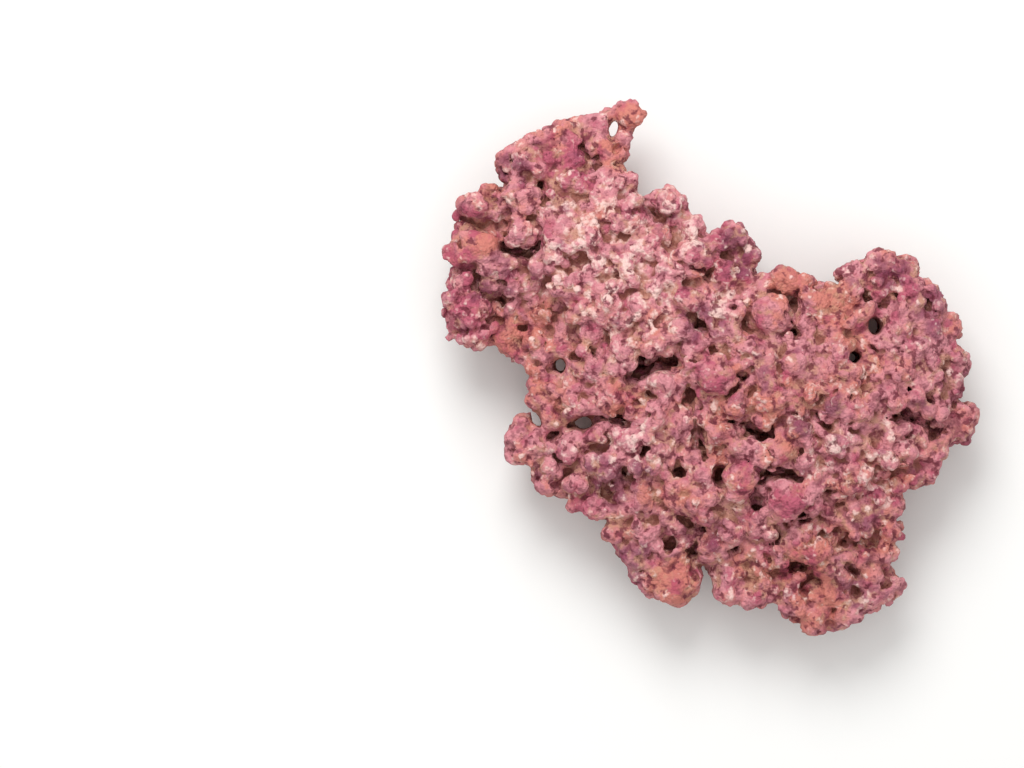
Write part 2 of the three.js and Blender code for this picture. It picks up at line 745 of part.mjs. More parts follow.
// Samples a solid's columns on a grid and wraps its surface in a net, with one vertex in each cell
// that the surface crosses.
function surfaceNet(columnAt, low, high, step) {
  const count = low.map((start, axis) => Math.ceil((high[axis] - start) / step) + 1);
  const at = (i, j, k) => i + count[0] * (j + count[1] * k);
  const values = new Float32Array(count[0] * count[1] * count[2]);
  for (let j = 0; j < count[1]; j++) {
    for (let i = 0; i < count[0]; i++) {
      const distance = columnAt(low[0] + i * step, low[1] + j * step);
      for (let k = 0; k < count[2]; k++) values[at(i, j, k)] = distance(low[2] + k * step);
    }
  }
  fillPinches(values, count, at);

  const corners = [0, 1, 2, 3, 4, 5, 6, 7].map((n) => [n & 1, (n >> 1) & 1, n >> 2]);
  const edges = [1, 2, 4].flatMap((bit) =>
    corners.map((_, n) => [n, n | bit]).filter(([from]) => !(from & bit)),
  );
  const vertexOf = new Int32Array(values.length);
  const positions = [];
  for (let k = 0; k < count[2] - 1; k++) {
    for (let j = 0; j < count[1] - 1; j++) {
      for (let i = 0; i < count[0] - 1; i++) {
        const cell = corners.map(([a, b, c]) => values[at(i + a, j + b, k + c)]);
        const crossed = edges.filter(([a, b]) => cell[a] < 0 !== cell[b] < 0);
        if (!crossed.length) continue;
        const middle = [0, 1, 2].map((axis) => {
          const sum = crossed.reduce((total, [a, b]) => {
            const share = cell[a] / (cell[a] - cell[b]);
            return total + corners[a][axis] + share * (corners[b][axis] - corners[a][axis]);
          }, 0);
          return sum / crossed.length;
        });
        vertexOf[at(i, j, k)] = positions.length / 3;
        [i, j, k].forEach((n, axis) => positions.push(low[axis] + step * (n + middle[axis])));
      }
    }
  }

  const faces = [];
  const axes = [
    [1, 0, 0],
    [0, 1, 0],
    [0, 0, 1],
  ];
  for (let k = 1; k < count[2] - 1; k++) {
    for (let j = 1; j < count[1] - 1; j++) {
      for (let i = 1; i < count[0] - 1; i++) {
        axes.forEach(([stepX, stepY, stepZ], axis) => {
          const inside = values[at(i, j, k)] < 0;
          if (inside === values[at(i + stepX, j + stepY, k + stepZ)] < 0) return;
          const u = axes[(axis + 1) % 3];
          const v = axes[(axis + 2) % 3];
          const ring = [
            at(i, j, k),
            at(i - u[0], j - u[1], k - u[2]),
            at(i - u[0] - v[0], j - u[1] - v[1], k - u[2] - v[2]),
            at(i - v[0], j - v[1], k - v[2]),
          ].map((n) => vertexOf[n]);
          if (!inside) ring.reverse();
          faces.push(ring[0], ring[1], ring[2], ring[0], ring[2], ring[3]);
        });
      }
    }
  }
  return new THREE.BufferGeometry()
    .setAttribute("position", new THREE.BufferAttribute(new Float32Array(positions), 3))
    .setIndex(faces);
}

// Fills grid points where the solid would touch itself only along an edge, so the net stays closed.
function fillPinches(values, count, at) {
  const acrossX = [1, 0, 0];
  const acrossY = [0, 1, 0];
  const acrossZ = [0, 0, 1];
  const squares = [
    [acrossX, acrossY],
    [acrossY, acrossZ],
    [acrossZ, acrossX],
  ];
  let changed = true;
  while (changed) {
    changed = false;
    for (let k = 0; k < count[2] - 1; k++) {
      for (let j = 0; j < count[1] - 1; j++) {
        for (let i = 0; i < count[0] - 1; i++) {
          for (const [u, v] of squares) {
            const square = [
              at(i, j, k),
              at(i + u[0], j + u[1], k + u[2]),
              at(i + v[0], j + v[1], k + v[2]),
              at(i + u[0] + v[0], j + u[1] + v[1], k + u[2] + v[2]),
            ];
            const [a, b, c, d] = square.map((n) => values[n] < 0);
            if (a !== d || b !== c || a === b) continue;
            values[square[a ? 1 : 0]] = -PINCH_FILL;
            changed = true;
          }
        }
      }
    }
  }
}

const wasm = await Module();
wasm.setup();

// A closed geometry as a solid that can be cut.
function solidOf(geometry) {
  const bare = new THREE.BufferGeometry().setAttribute("position", geometry.attributes.position);
  const merged = mergeVertices(bare.setIndex(geometry.index));
  return new wasm.Manifold(
    new wasm.Mesh({
      numProp: 3,
      vertProperties: merged.attributes.position.array,
      triVerts: new Uint32Array(merged.index.array),
    }),
  );
}

function geometryOf(solid) {
  const mesh = solid.getMesh();
  return new THREE.BufferGeometry()
    .setAttribute("position", new THREE.BufferAttribute(mesh.vertProperties, 3))
    .setIndex(new THREE.BufferAttribute(mesh.triVerts, 1));
}

// The outer skin alone, without crumbs of the net and without the skins of sealed hollows.
const largest = (solids) => solids.sort((a, b) => b.volume() - a.volume())[0];

// Whether any edge of a closed geometry is shared by more than two triangles.
function hasDoubledEdge(geometry) {
  const index = mergeVertices(geometry).index.array;
  const edges = new Set();
  for (let i = 0; i < index.length; i += 3) {
    for (let side = 0; side < 3; side++) edges.add(`${index[i + side]} ${index[i + ((side + 1) % 3)]}`);
  }
  return edges.size < index.length;
}

// The net thinned to about the given number of triangles, and cut flat where it meets the ground.
async function thinAndCut(net, triangles) {
  const spare = net.attributes.position.count - triangles / 2;
  const thinned = await new SimplifyModifier().modify(net, spare);
  const ground = new THREE.BoxGeometry(GROUND.side, GROUND.side, GROUND.depth);
  ground.translate(0, 0, -GROUND.depth / 2);
  return geometryOf(largest(solidOf(thinned).decompose()).subtract(solidOf(ground)));
}

async function makeRock() {
  // The plan's y runs to the front, so it turns over on the way to the rock's own frame.
  const columnAt = (x, y) => rockColumn(x + SHEET_CENTRE.x, SHEET_CENTRE.y - y);
  const net = surfaceNet(columnAt, SAMPLED.low, SAMPLED.high, GRID_STEP);
  for (let attempt = 0; attempt < THIN_ATTEMPTS; attempt++) {
    const rock = await thinAndCut(net, TRIANGLES - attempt * THIN_STEP);
    if (!hasDoubledEdge(rock)) return rock;
  }
  throw new Error("the thinned rock touches itself along an edge");
}

const crust = new THREE.MeshStandardMaterial({
  color: new THREE.Color().setRGB(0.69, 0.45, 0.46, THREE.SRGBColorSpace),
  roughness: 0.9,
  metalness: 0,
});

const rockGeometry = await makeRock();
rockGeometry.computeBoundingBox();
const middle = rockGeometry.boundingBox.getCenter(new THREE.Vector3());
rockGeometry.translate(-middle.x, -middle.y, 0);

const reefRock = new THREE.Mesh(rockGeometry, crust);
reefRock.name = "reef_rock";

const group = new THREE.Group();
group.add(reefRock);
export default group;
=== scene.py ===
# Dry reef rock, dressed: a knobbly slab of coral limestone under a dry pink coralline crust.
#
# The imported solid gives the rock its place, its size and its main forms. Here its facets are softened on a
# grid of distances, nodules and granules grow on it, cracks and pits are cut, and the skin becomes a mesh.
# The file is laid out as an add-on and run as a script. Sculpting is in millimetres, the scene in metres.
import itertools
import math

import bpy
import numpy as np
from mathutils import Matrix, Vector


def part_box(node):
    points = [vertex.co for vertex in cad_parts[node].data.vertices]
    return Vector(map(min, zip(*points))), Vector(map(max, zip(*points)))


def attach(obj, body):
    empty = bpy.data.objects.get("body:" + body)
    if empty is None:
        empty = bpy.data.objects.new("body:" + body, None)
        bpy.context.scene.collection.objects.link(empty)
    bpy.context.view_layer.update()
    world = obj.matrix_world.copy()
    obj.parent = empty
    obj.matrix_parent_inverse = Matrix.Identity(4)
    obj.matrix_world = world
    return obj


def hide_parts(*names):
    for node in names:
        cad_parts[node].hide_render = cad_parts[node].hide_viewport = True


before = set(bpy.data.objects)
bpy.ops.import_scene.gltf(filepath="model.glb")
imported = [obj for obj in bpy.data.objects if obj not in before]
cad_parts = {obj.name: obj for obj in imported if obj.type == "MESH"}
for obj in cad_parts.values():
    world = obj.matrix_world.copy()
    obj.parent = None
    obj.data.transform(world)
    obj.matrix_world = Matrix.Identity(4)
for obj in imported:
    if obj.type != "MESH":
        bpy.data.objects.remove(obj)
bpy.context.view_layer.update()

import openvdb
from bpy.props import FloatProperty, FloatVectorProperty, IntProperty, PointerProperty
from mathutils import Vector

bl_info = {
    "name": "Dry Reef Rock",
    "version": (1, 0, 0),
    "blender": (4, 5, 0),
    "location": "View3D > Sidebar > Reef Rock",
    "description": "Grows a dry coralline crust on the packed solid of a reef rock",
    "category": "Add Mesh",
}

MM = 0.001
NODE = "reef_rock"
LOW, HIGH = (np.array(corner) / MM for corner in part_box(NODE))

# Seeds of chance. A placed knob, crack or pit adds its number in its list.
KNOB_SEED, NODULE_SEED, GRANULE_SEED = 10, 20, 30
CRACK_SEED, PIT_SEED, PLACED_KNOB_SEED = 100, 200, 300

# Grid and chance. Lengths are in mm here and below, unless a comment says what they are measured over.
REACH = 9  # how far from the skin distances are known
BLUR_REACH = 2.5  # how far a blur looks, over its radius
MARGIN = 20  # round the solid that chance is drawn for

# Broad relief
SMOOTHINGS = 4  # times that the heights of the broad face are evened out
TIP_LIMIT = 0.35  # most that a tip is drawn out, over the radius of the relief
THIN_LOSS = 0.8  # most that rounding off takes from a thin part
ROOM_WIDTH = 14  # from the sides of the box over which the solid is drawn in

# Strays that bend placed shapes
STRAY_LENGTH, FINE_STRAY_LENGTH = 6, 2.5
FINE_STRAY = 0.35  # over the coarser stray
KNOB_STRAY, CRACK_STRAY, PIT_STRAY = 1.0, 1.8, 1.2

# Placed knobs
ROOF_GAP = 0.5  # left between a knob and the top of the box
KNOB_ROOM = 3  # worked on outside a knob's cleft
CLEFT_FLOOR = 0.1  # how far below a knob's middle its cleft goes, over the radius
CLEFT_WEAR = 1  # radius worn onto a cleft's lips

# Cracks
CRACK_LEAN = 0.35  # towards the back, over the depth
CRACK_ROOM, CRACK_ROOM_UP = 10, 14  # worked on beside a crack, and above and below it
CRACK_FLARE, CRACK_TAPER = 1.2, 0.7  # most that it widens above the face, and the power that it narrows with
CRACK_ENDS = 0.4  # width at its ends, over its middle
CRACK_WEAR = 0.3  # radius worn onto its lips, over the width
FAR = 50.0  # further off than any part of a crack that is worked on

# Pits
PIT_REACH, PIT_ROOM = 1.6, 5  # worked on round a pit: over its radius, and beyond that
PIT_ROOM_DOWN, PIT_ROOM_UP = 4, 9
PIT_MOUTH, PIT_FLARE = 1.2, 1.4  # its profile at the face, and the most above it
PIT_ROUND = 0.5  # power that rounds its profile
PIT_WEAR = 0.3  # radius worn onto its lips, over the radius

# Eyelets
EYELET_REACH, EYELET_ROOM = 3, 2  # worked on round an eyelet, over its half width, and past the box
EYELET_THROAT = 32  # height of its narrowest place over the floor
EYELET_FLARE = 0.02  # how much it widens for each mm from there
EYELET_WEAR = 0.8  # radius worn onto its lips

# Fades from 1 up close to 0 far off: a level, and its fall for each unit of length
KNOB_FADE = (2.6, 2)  # over a knob's radius
KNOB_SIDE = 1.6  # how far down a knob's side counts as on it, over the radius
EYELET_FADE = (1.8, 0.25)  # over a mm
PATCH_FADE = (1.6, 1.2)  # over a patch's radius

# Shape of strewn lumps, over the distance between them
BEND_LENGTH, BEND = 1.2, 0.22  # length over which places stray, and how far
LEAST_LUMP, LUMP_SPREAD = 0.5, 0.4  # radius of the smallest, and how much larger the largest is
GROUND, FULLNESS = 0.12, 0.55  # least height from 0 to 1, and the power that rounds a lump's shoulders
SEAM = 0.27  # difference in that height over which the seam between two lumps fades

# Growth of strewn lumps
SINKING, RISING = 0.7, 0.4  # most that they lower and raise the skin, over their height
FEET_SHARE = 0.8  # how much of the way back to the skin they are looked up
LEAST_STEEPNESS = 0.5  # of the distances, so that no foot is looked for far off
VIGOUR, VIGOUR_DRIFT, VIGOUR_RANGE = 0.85, 0.5, (0.3, 1.3)  # height of lumps, over the full one
VIGOUR_LENGTH = 3  # over which that drifts, over the distance between lumps
GROOVED, GROOVE_DRIFT = 0.55, 0.9  # share of a seam's groove that is cut, and how much that drifts
GROOVE_LENGTH = 0.8  # over which it drifts, over the distance between lumps
THIN_RADIUS = 0.45  # of the blur that finds thin parts, over the height of lumps
THIN_FADE, THIN_VIGOUR = (1.25, 3), 0.15  # how vigour falls on thin parts, and the least of it
EYELET_CALM = 0.6  # how much lower lumps are round the eyelets
ROOM_SHARE = 0.5  # how much of the room to the box's sides a lump may take up

# Thinning
LAYER_COUNT = 10  # by height
TOP_SPARED, SPARING = 0.8, 0.4  # how much less the top is thinned, and how strongly that counts

# What the material reads, from the finished grid
FACING_RADIUS = 1.2  # of the blur before facing up is measured
FACING_LEVEL, FACING_WIDTH = 0.75, 1.1  # facing that is stored as 0, and how much less is stored as 1
RELIEF_RADII = {"fine relief": 1.5, "broad relief": 4.5}  # of the blurs that tell caps from hollows
RELIEF_SPREAD = 0.2  # stored for each standard deviation
OPEN_DEPTH, OPEN_FADE = 2, 12  # depth to which patches are whole, and over which they end below it

# Smooth round knobs that stand out of the broad face: x, y, radius, rise of the top over its surroundings.
SMOOTH_KNOBS = [
    (-39.8, 126.5, 7.4, 1.5),  # horn tip
    (-50.5, 106, 7, 1),
    (-115.5, 61, 11, 1.5),  # left lobe
    (-101.5, 15, 8.5, 1),
    (37, 43, 7.5, 1),  # saddle
    (59.5, 34, 7.5, 1),
    (29.5, 26, 10.5, 2),
    (2, -3.5, 11, 2),  # middle
    (14.5, -56, 10, 2),
    (38, -66, 10.5, 2),
    (34.5, -41, 9, 1),
    (62, -19, 7, 1.5),
    (-18, -108.5, 11, 1),  # front
    (52, -116, 10, 1.5),
    (52, -123, 9, 1),
]

# Rougher round knobs, in the same terms.
ROUGH_KNOBS = [
    (-103, 104, 4.5, 0.5),  # upper left
    (-117, 80, 8, 2),
    (-93, 83, 9, 2.5),
    (-124, 58, 8, 2),
    (-94, 67, 7, 2.5),
    (-121, 29, 12, 3),  # left lobe
    (-111, 42, 6.5, 2),
    (-96, -35, 7, 1.5),
    (-80, -51, 7, 1.5),
    (-53, -49, 9, 2),
    (-21, 82, 7, 1.5),  # back rim
    (-10, 54, 10, 2.5),
    (10, 65, 8, 2),
    (-8, 9, 8, 2),
    (62, -15, 8, 2),
    (42, -31, 7.5, 2),
    (72, -74, 10, 2),
    (44, -87, 11, 2),
    (79, -106, 8, 1.5),
    (-60, 18, 8, 1.5),
    (-36, -22, 8, 1.5),
    (86, 40, 9, 1.5),
    (104, -6, 9, 1.5),
    (96, -42, 8, 1.5),
]

# Cracks between ledges: path, width at the mouth, depth.
CRACKS = [
    ([(-39, -5.5), (-34, -1), (-26.5, 1), (-20.5, -2)], 7, 13),
    ([(7.5, -14), (14.5, -8), (19.5, -2)], 3.4, 8),
    ([(-12.5, -9), (-9, -23.5)], 2.6, 5),
    ([(-9.5, -22), (-7, -36), (-2.5, -47)], 3.6, 8),
    ([(8.5, -27.5), (19.5, -32), (32.5, -35.5)], 3.6, 8),
    ([(20, -62.5), (27, -55), (32, -53), (45, -56.5)], 4, 9),
    ([(38, -78.5), (47, -76.5), (53.5, -76), (59, -80.5)], 3.8, 8),
    ([(-15.5, -75.5), (-6.5, -82), (-2.5, -82)], 3.6, 8),
    ([(-11.5, -92.5), (-7, -87.5)], 3.4, 7),
    ([(54.5, -63), (66, -62)], 2.4, 5),
    ([(67, -88.5), (74.5, -91)], 3.4, 7),
    ([(43.5, -101), (51, -99.5)], 3, 6),
    ([(44.5, -110), (47, -113.5)], 2.6, 5),
    ([(49.5, -22), (58.5, -32)], 2.8, 6),
    ([(88.5, -25), (97, -26), (107, -30)], 3.4, 8),
    ([(103, -29), (111, -32), (117, -32)], 4.6, 9),
    ([(37, 29), (41, 19)], 3, 7),
    ([(-7, 23), (-5, 17.5)], 3, 7),
    ([(-101.5, 59), (-95.5, 57), (-88, 58)], 5.5, 10),
    ([(-66.5, 110.5), (-60.5, 104), (-55.5, 104)], 2.8, 5),
    ([(-124, 73), (-116.5, 69), (-108, 70), (-103, 72.5)], 8, 6),
    ([(-104.5, 36.5), (-104, 28)], 3, 7),
    ([(-31.5, 77.5), (-26.5, 75), (-20.5, 74.5)], 3.4, 6),
    ([(-19.5, 55), (-13, 49), (-3, 48)], 3.6, 7),
    ([(-57.5, -28), (-51.5, -26.5), (-40.5, -27)], 3.6, 8),
    ([(-56.5, -58.5), (-50.5, -58.5), (-46, -56), (-43.5, -51.5)], 3.4, 7),
    ([(7.5, 31.5), (12, 28)], 2.8, 5),
    ([(102, 34), (114.5, 26.5)], 3.2, 5),
    ([(79, 11.5), (83, 8)], 2.8, 5),
    ([(81, -5), (83, -9)], 2.4, 4),
]

# Pits eaten into the broad face: x, y, radius, depth.
PITS = [
    (-86, 91.5, 2.2, 5),
    (-46.5, 110, 2.6, 6),
    (-93.5, 19.5, 1.8, 4),
    (28.5, -34.5, 4.2, 9),
    (4.5, -54, 4.6, 10),
    (23, -66, 3.4, 6),
    (-20.5, -88.5, 3.4, 7),
    (-2.5, -101, 2.8, 6),
    (42, 17.5, 2.8, 7),
    (-37.5, -17, 2.6, 5),
    (-33, -40.5, 2.2, 5),
    (-16.5, -52, 2.8, 5),
    (91, -52.5, 1.8, 4),
    (73, -112, 3, 5),
    (-74, -1, 2.4, 5),
    (112, -32.5, 3, 8),
    (-69, 5, 1.8, 4),
]

# Eyelets that run right through: x, y, half width along and across, turn on the plan in degrees.
EYELETS = [
    (-48.7, 119.8, 1.9, 3.9, -12),
    (81.6, 20.8, 2.5, 3.4, 0),
    (71, 5.2, 1.9, 1.9, 0),
    (-75.4, 1.2, 2.2, 3, 0),
    (-87.4, -25.8, 1.7, 4.2, 28),
    (-63.8, -27.8, 4.2, 2.6, 0),
    (-1.8, -109, 2.6, 5.5, 0),  # notch in the front rim
]

# Patches of growth on the broad face: x, y, radius. Elsewhere they follow the crust's own drift.
SALMON_PATCHES = [
    (-40, 126, 9),
    (-50, 106, 9),
    (-114, 63, 8),
    (-101, 15, 10),
    (37, 43, 9),
    (60, 33, 11),
    (-18, -108, 14),
    (51, -119, 15),
    (34, -42, 11),
    (48, -95, 14),
    (-45, -15, 12),
]
MAUVE_PATCHES = [
    (62, -19, 10),
    (42, -31, 9),
    (-36, -49, 8),
    (-51, -53, 13),
    (73, -112, 9),
    (109, 30, 12),
    (-108, 43, 12),
    (14, 58, 14),
    (92, 50, 11),
    (124, -8, 8),
    (-98, 99, 10),
    (-5, 22, 10),
    (-6, -90, 12),
    (-42, -94, 11),
    (80, -78, 10),
]
CRIMSON_PATCHES = [
    (-122, 30, 16),
    (-122, 74, 11),
    (-130, 55, 11),
    (-72, 100, 18),
    (15, -55, 10),
    (38, -66, 10),
    (0, -5, 11),
    (48, -98, 12),
    (-62, -72, 14),
    (84, -64, 13),
    (12, 50, 10),
    (90, 42, 12),
]
PALE_PATCHES = [
    (-45, 58, 38),
    (-50, 80, 16),
    (-30, 30, 24),
    (-15, 66, 18),
    (8, 34, 12),
    (-40, -36, 12),
    (58, -46, 13),
    (82, -56, 13),
]
PATCHES = {
    "salmon growth": SALMON_PATCHES,
    "mauve growth": MAUVE_PATCHES,
    "crimson growth": CRIMSON_PATCHES,
    "pale ground": PALE_PATCHES,
}


def linear(code):
    """An sRGB hex colour as linear red, green and blue."""
    channels = (int(code[i : i + 2], 16) / 255 for i in (0, 2, 4))
    return tuple(c / 12.92 if c <= 0.04045 else ((c + 0.055) / 1.055) ** 2.4 for c in channels)


# Grid of distances


class Block:
    """Distances to the rock's skin in mm, negative inside it, at the points of an even grid."""

    def __init__(self, values, low, step):
        self.values = values
        self.low = np.array(low)
        self.step = step

    def at(self, index):
        """Places of grid points, in mm."""
        return (self.low + index) * self.step

    def near_skin(self, inside, outside):
        """Grid points within some distance inside and outside the skin, as an index and as places."""
        index = np.nonzero((self.values > -inside) & (self.values < outside))
        return index, self.at(np.stack(index, axis=1)).astype(np.float32)

    def window(self, low, high):
        """The part of the block between two corners, as a slice and as open x, y and z."""
        first = np.clip(np.floor(np.array(low) / self.step).astype(int) - self.low, 0, self.values.shape)
        last = np.clip(np.ceil(np.array(high) / self.step).astype(int) - self.low, 0, self.values.shape)
        part = tuple(slice(a, b) for a, b in zip(first, last))
        axes = [self.at(np.arange(a, b)[:, None])[:, n] for n, (a, b) in enumerate(zip(first, last))]
        return part, np.meshgrid(*axes, indexing="ij", sparse=True)

    def read(self, places):
        """Values between grid points, at places in mm."""
        last = np.array(self.values.shape) - 1.001  # a little short of the last point, which has no next one
        exact = np.clip(places / self.step - self.low, 0, last)
        corner = exact.astype(int)
        share = exact - corner
        total = np.zeros(len(places))
        for offset in itertools.product((0, 1), repeat=3):
            weight = np.abs(1 - np.array(offset) - share).prod(axis=1)
            total += weight * self.values[tuple((corner + offset).T)]
        return total

    def slopes(self):
        """Blocks of the change of the distance along x, y and z."""
        changes = (np.gradient(self.values, self.step, axis=axis) for axis in range(3))
        return [Block(change, self.low, self.step) for change in changes]

    def blurred(self, radius):
        """The same block with its values averaged over about a radius in mm."""
        sigma = radius / self.step
        reach = math.ceil(BLUR_REACH * sigma)
        weights = np.exp(-0.5 * (np.arange(-reach, reach + 1) / sigma) ** 2)
        weights = (weights / weights.sum()).astype(np.float32)
        values = self.values
        for axis in range(3):
            width = [(reach, reach) if n == axis else (0, 0) for n in range(3)]
            padded = np.pad(values, width, mode="edge")
            length = values.shape[axis]
            values = sum(
                weight * padded.take(range(i, i + length), axis=axis) for i, weight in enumerate(weights)
            )
        return Block(values, self.low, self.step)


def union(a, b, fillet):
    """Joins two distances with a fillet of about the given radius."""
    share = np.clip(0.5 + 0.5 * (b - a) / fillet, 0, 1)
    return b + (a - b) * share - fillet * share * (1 - share)


def cut(solid, tool, worn):
    """Takes a tool out of a solid and wears the edge that it leaves."""
    return -union(-solid, tool, worn)


def distances(points, step, **faces):
    """Distances to a closed skin, given as points in mm with triangles or quads, up to REACH."""
    steps = math.ceil(REACH / step)
    transform = openvdb.createLinearTransform(voxelSize=step)
    grid = openvdb.FloatGrid.createLevelSetFromPolygons(points, transform=transform, halfWidth=steps, **faces)
    low = np.floor(LOW / step).astype(int) - steps - 1
    high = np.ceil(HIGH / step).astype(int) + steps + 2
    values = np.empty(high - low, np.float32)
    grid.copyToArray(values, ijk=tuple(int(n) for n in low))
    return Block(values, low, step)


def distances_to_solid(step):
    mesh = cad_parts[NODE].data
    mesh.calc_loop_triangles()
    points = np.empty(len(mesh.vertices) * 3, np.float32)
    mesh.vertices.foreach_get("co", points)
    corners = np.empty(len(mesh.loop_triangles) * 3, np.int32)
    mesh.loop_triangles.foreach_get("vertices", corners)
    triangles = corners.reshape(-1, 3).astype(np.uint32)
    return distances(points.reshape(-1, 3) / MM, step, triangles=triangles)


# Chance, always the same


def cells(places, length):
    """Cells of an even lattice about the solid, with a cell to spare below it and two above.

    Gives which cell each place lies in, its place in lattice lengths, and how many cell numbers lie between
    neighbours along x, y and z, and the count of cells each way.
    """
    count = np.ceil((HIGH - LOW + 2 * MARGIN) / length).astype(int) + 3
    exact = ((places - (LOW - MARGIN)) / length + 1).astype(np.float32)
    stride = np.array((count[1] * count[2], count[2], 1))
    return exact.astype(np.int32) @ stride, exact, stride, count


def drift(places, length, seed):
    """A value from -1 to 1 that changes smoothly over about a length in mm."""
    cell, exact, stride, count = cells(places, length)
    share = exact - np.floor(exact)
    share = share * share * (3 - 2 * share)
    level = np.random.default_rng(seed).random(count.prod()).astype(np.float32)
    total = np.zeros(len(places), np.float32)
    for x, y, z in itertools.product((0, 1), repeat=3):
        weight = np.abs(1 - x - share[:, 0]) * np.abs(1 - y - share[:, 1]) * np.abs(1 - z - share[:, 2])
        total += weight * level[cell + np.dot((x, y, z), stride)]
    return 2 * total - 1


def lumps(places, width, seed):
    """Round lumps strewn about a width apart, a little bent out of shape.

    Gives, all from 0 to 1, the height of the nearest lump over each place, how near the place is to the seam
    with the next lump, and the lump's own tint.
    """
    strays = [drift(places, BEND_LENGTH * width, seed + n) for n in (1, 2, 3)]
    home, exact, stride, count = cells(places + BEND * width * np.stack(strays, axis=1), width)
    chance = np.random.default_rng(seed).random((count.prod(), 5)).astype(np.float32)
    middles = np.stack(np.indices(count), axis=-1).reshape(-1, 3) + chance[:, :3]
    x, y, z = middles.T.astype(np.float32)
    curve = (LEAST_LUMP + LUMP_SPREAD * chance[:, 3]) ** -2
    best = np.zeros(len(places), np.float32)
    second = np.zeros(len(places), np.float32)
    nearest = np.zeros(len(places), int)
    for offset in itertools.product((-1, 0, 1), repeat=3):
        cell = home + np.dot(offset, stride)
        away = (exact[:, 0] - x[cell]) ** 2 + (exact[:, 1] - y[cell]) ** 2 + (exact[:, 2] - z[cell]) ** 2
        height = 1 - away * curve[cell]
        second = np.maximum(second, np.minimum(best, height))
        nearest = np.where(height > best, cell, nearest)
        best = np.maximum(best, height)
    seam = np.clip(1 - (best - second) / SEAM, 0, 1)
    return np.maximum(best, GROUND) ** FULLNESS, seam, chance[nearest, 4]


def fade(away, level, fall):
    """From 1 up close to 0 far off."""
    return np.clip(level - fall * away, 0, 1)


# Sculpting


def broad_face(block):
    """Height of the broad face, as a function of x and y, from the block's highest solid points."""
    solid = block.values < 0
    top = (solid.shape[2] - 1 - solid[:, :, ::-1].argmax(axis=2)).astype(np.float32)
    height = np.where(solid.any(axis=2), (top + block.low[2]) * block.step, 0)
    for _ in range(SMOOTHINGS):
        grown = np.pad(height, 1, mode="edge")
        height = (grown[:-2, 1:-1] + grown[2:, 1:-1] + grown[1:-1, :-2] + grown[1:-1, 2:] + 4 * height) / 8

    def at(x, y):
        i = np.clip(np.round(x / block.step).astype(int) - block.low[0], 0, height.shape[0] - 1)
        j = np.clip(np.round(y / block.step).astype(int) - block.low[1], 0, height.shape[1] - 1)
        return height[i, j]

    return at


def strengthen(block, radius, share):
    """Makes knobs stand out and crevices sink, by a share of how far they leave the general surface.

    Tips that already stick out further than most are not drawn out into spikes.
    """
    relief = share * (block.values - block.blurred(radius).values)
    block.values += np.maximum(relief, -TIP_LIMIT * radius)


def strayed(block, low, high, stray, seed):
    """Part of the block between two corners, and its places with an uneven stray that breaks up a shape."""
    part, axes = block.window(low, high)
    places = np.stack([axis.ravel() for axis in np.broadcast_arrays(*axes)], axis=1)
    shape = block.values[part].shape
    coarse = np.stack([drift(places, STRAY_LENGTH, seed + n) for n in (1, 2, 3)], axis=1)
    fine = np.stack([drift(places, FINE_STRAY_LENGTH, seed + n) for n in (4, 5, 6)], axis=1)
    moved = places + stray * coarse
    moved += FINE_STRAY * stray * fine
    return part, *(moved[:, n].reshape(shape) for n in range(3))


def add_knobs(block, top, knobs, moat, flatness, fillet):
    """Sets knobs into the broad face, each with a cleft as wide as the moat round its upper part."""
    for number, (x, y, radius, rise) in enumerate(knobs):
        z = min(top(x, y) + rise, HIGH[2] - ROOF_GAP) - radius * flatness
        reach = radius + moat + KNOB_ROOM
        low, high = (x - reach, y - reach, z - reach), (x + reach, y + reach, z + reach)
        part, px, py, pz = strayed(block, low, high, KNOB_STRAY, PLACED_KNOB_SEED + number)
        ball = np.sqrt((px - x) ** 2 + (py - y) ** 2 + ((pz - z) / flatness) ** 2) - radius
        cleft = np.maximum(ball - moat, z - CLEFT_FLOOR * radius - pz)
        block.values[part] = union(cut(block.values[part], cleft, CLEFT_WEAR), ball, fillet)


def on_knobs(places, top, knobs):
    """From 0 elsewhere to 1 on some knobs."""
    share = np.zeros(len(places), np.float32)
    for x, y, radius, _ in knobs:
        away = np.hypot(places[:, 0] - x, places[:, 1] - y) / radius
        near = fade(away, *KNOB_FADE) * (places[:, 2] > top(x, y) - KNOB_SIDE * radius)
        np.maximum(share, near, out=share)
    return share


def by_eyelets(places):
    """From 0 elsewhere to 1 round the eyelets, whose thin bridges carry only low lumps."""
    share = np.zeros(len(places), np.float32)
    for x, y, half_x, half_y, _ in EYELETS:
        away = np.hypot(places[:, 0] - x, places[:, 1] - y) - max(half_x, half_y)
        np.maximum(share, fade(away, *EYELET_FADE), out=share)
    return share


def room_at(places):
    """Distance from places to the nearest side or the top of the solid's box, in mm."""
    room = np.minimum(places - LOW, HIGH - places)
    return np.clip(np.minimum(np.minimum(room[:, 0], room[:, 1]), HIGH[2] - places[:, 2]), 0, None)


def make_room(block, depth):
    """Draws the solid in from the sides of its box, so that lumps can grow back out to them."""
    index, places = block.near_skin(inside=depth + 2, outside=1)
    block.values[index] += depth * np.clip(1 - room_at(places) / ROOM_WIDTH, 0, 1)


def feet(places, distance, slope):
    """Places brought most of the way back to the skin, so that a lump there rises straight out of it."""
    steepness = np.maximum(np.linalg.norm(slope, axis=1), LEAST_STEEPNESS)
    return places - (FEET_SHARE * distance / steepness**2)[:, None] * slope


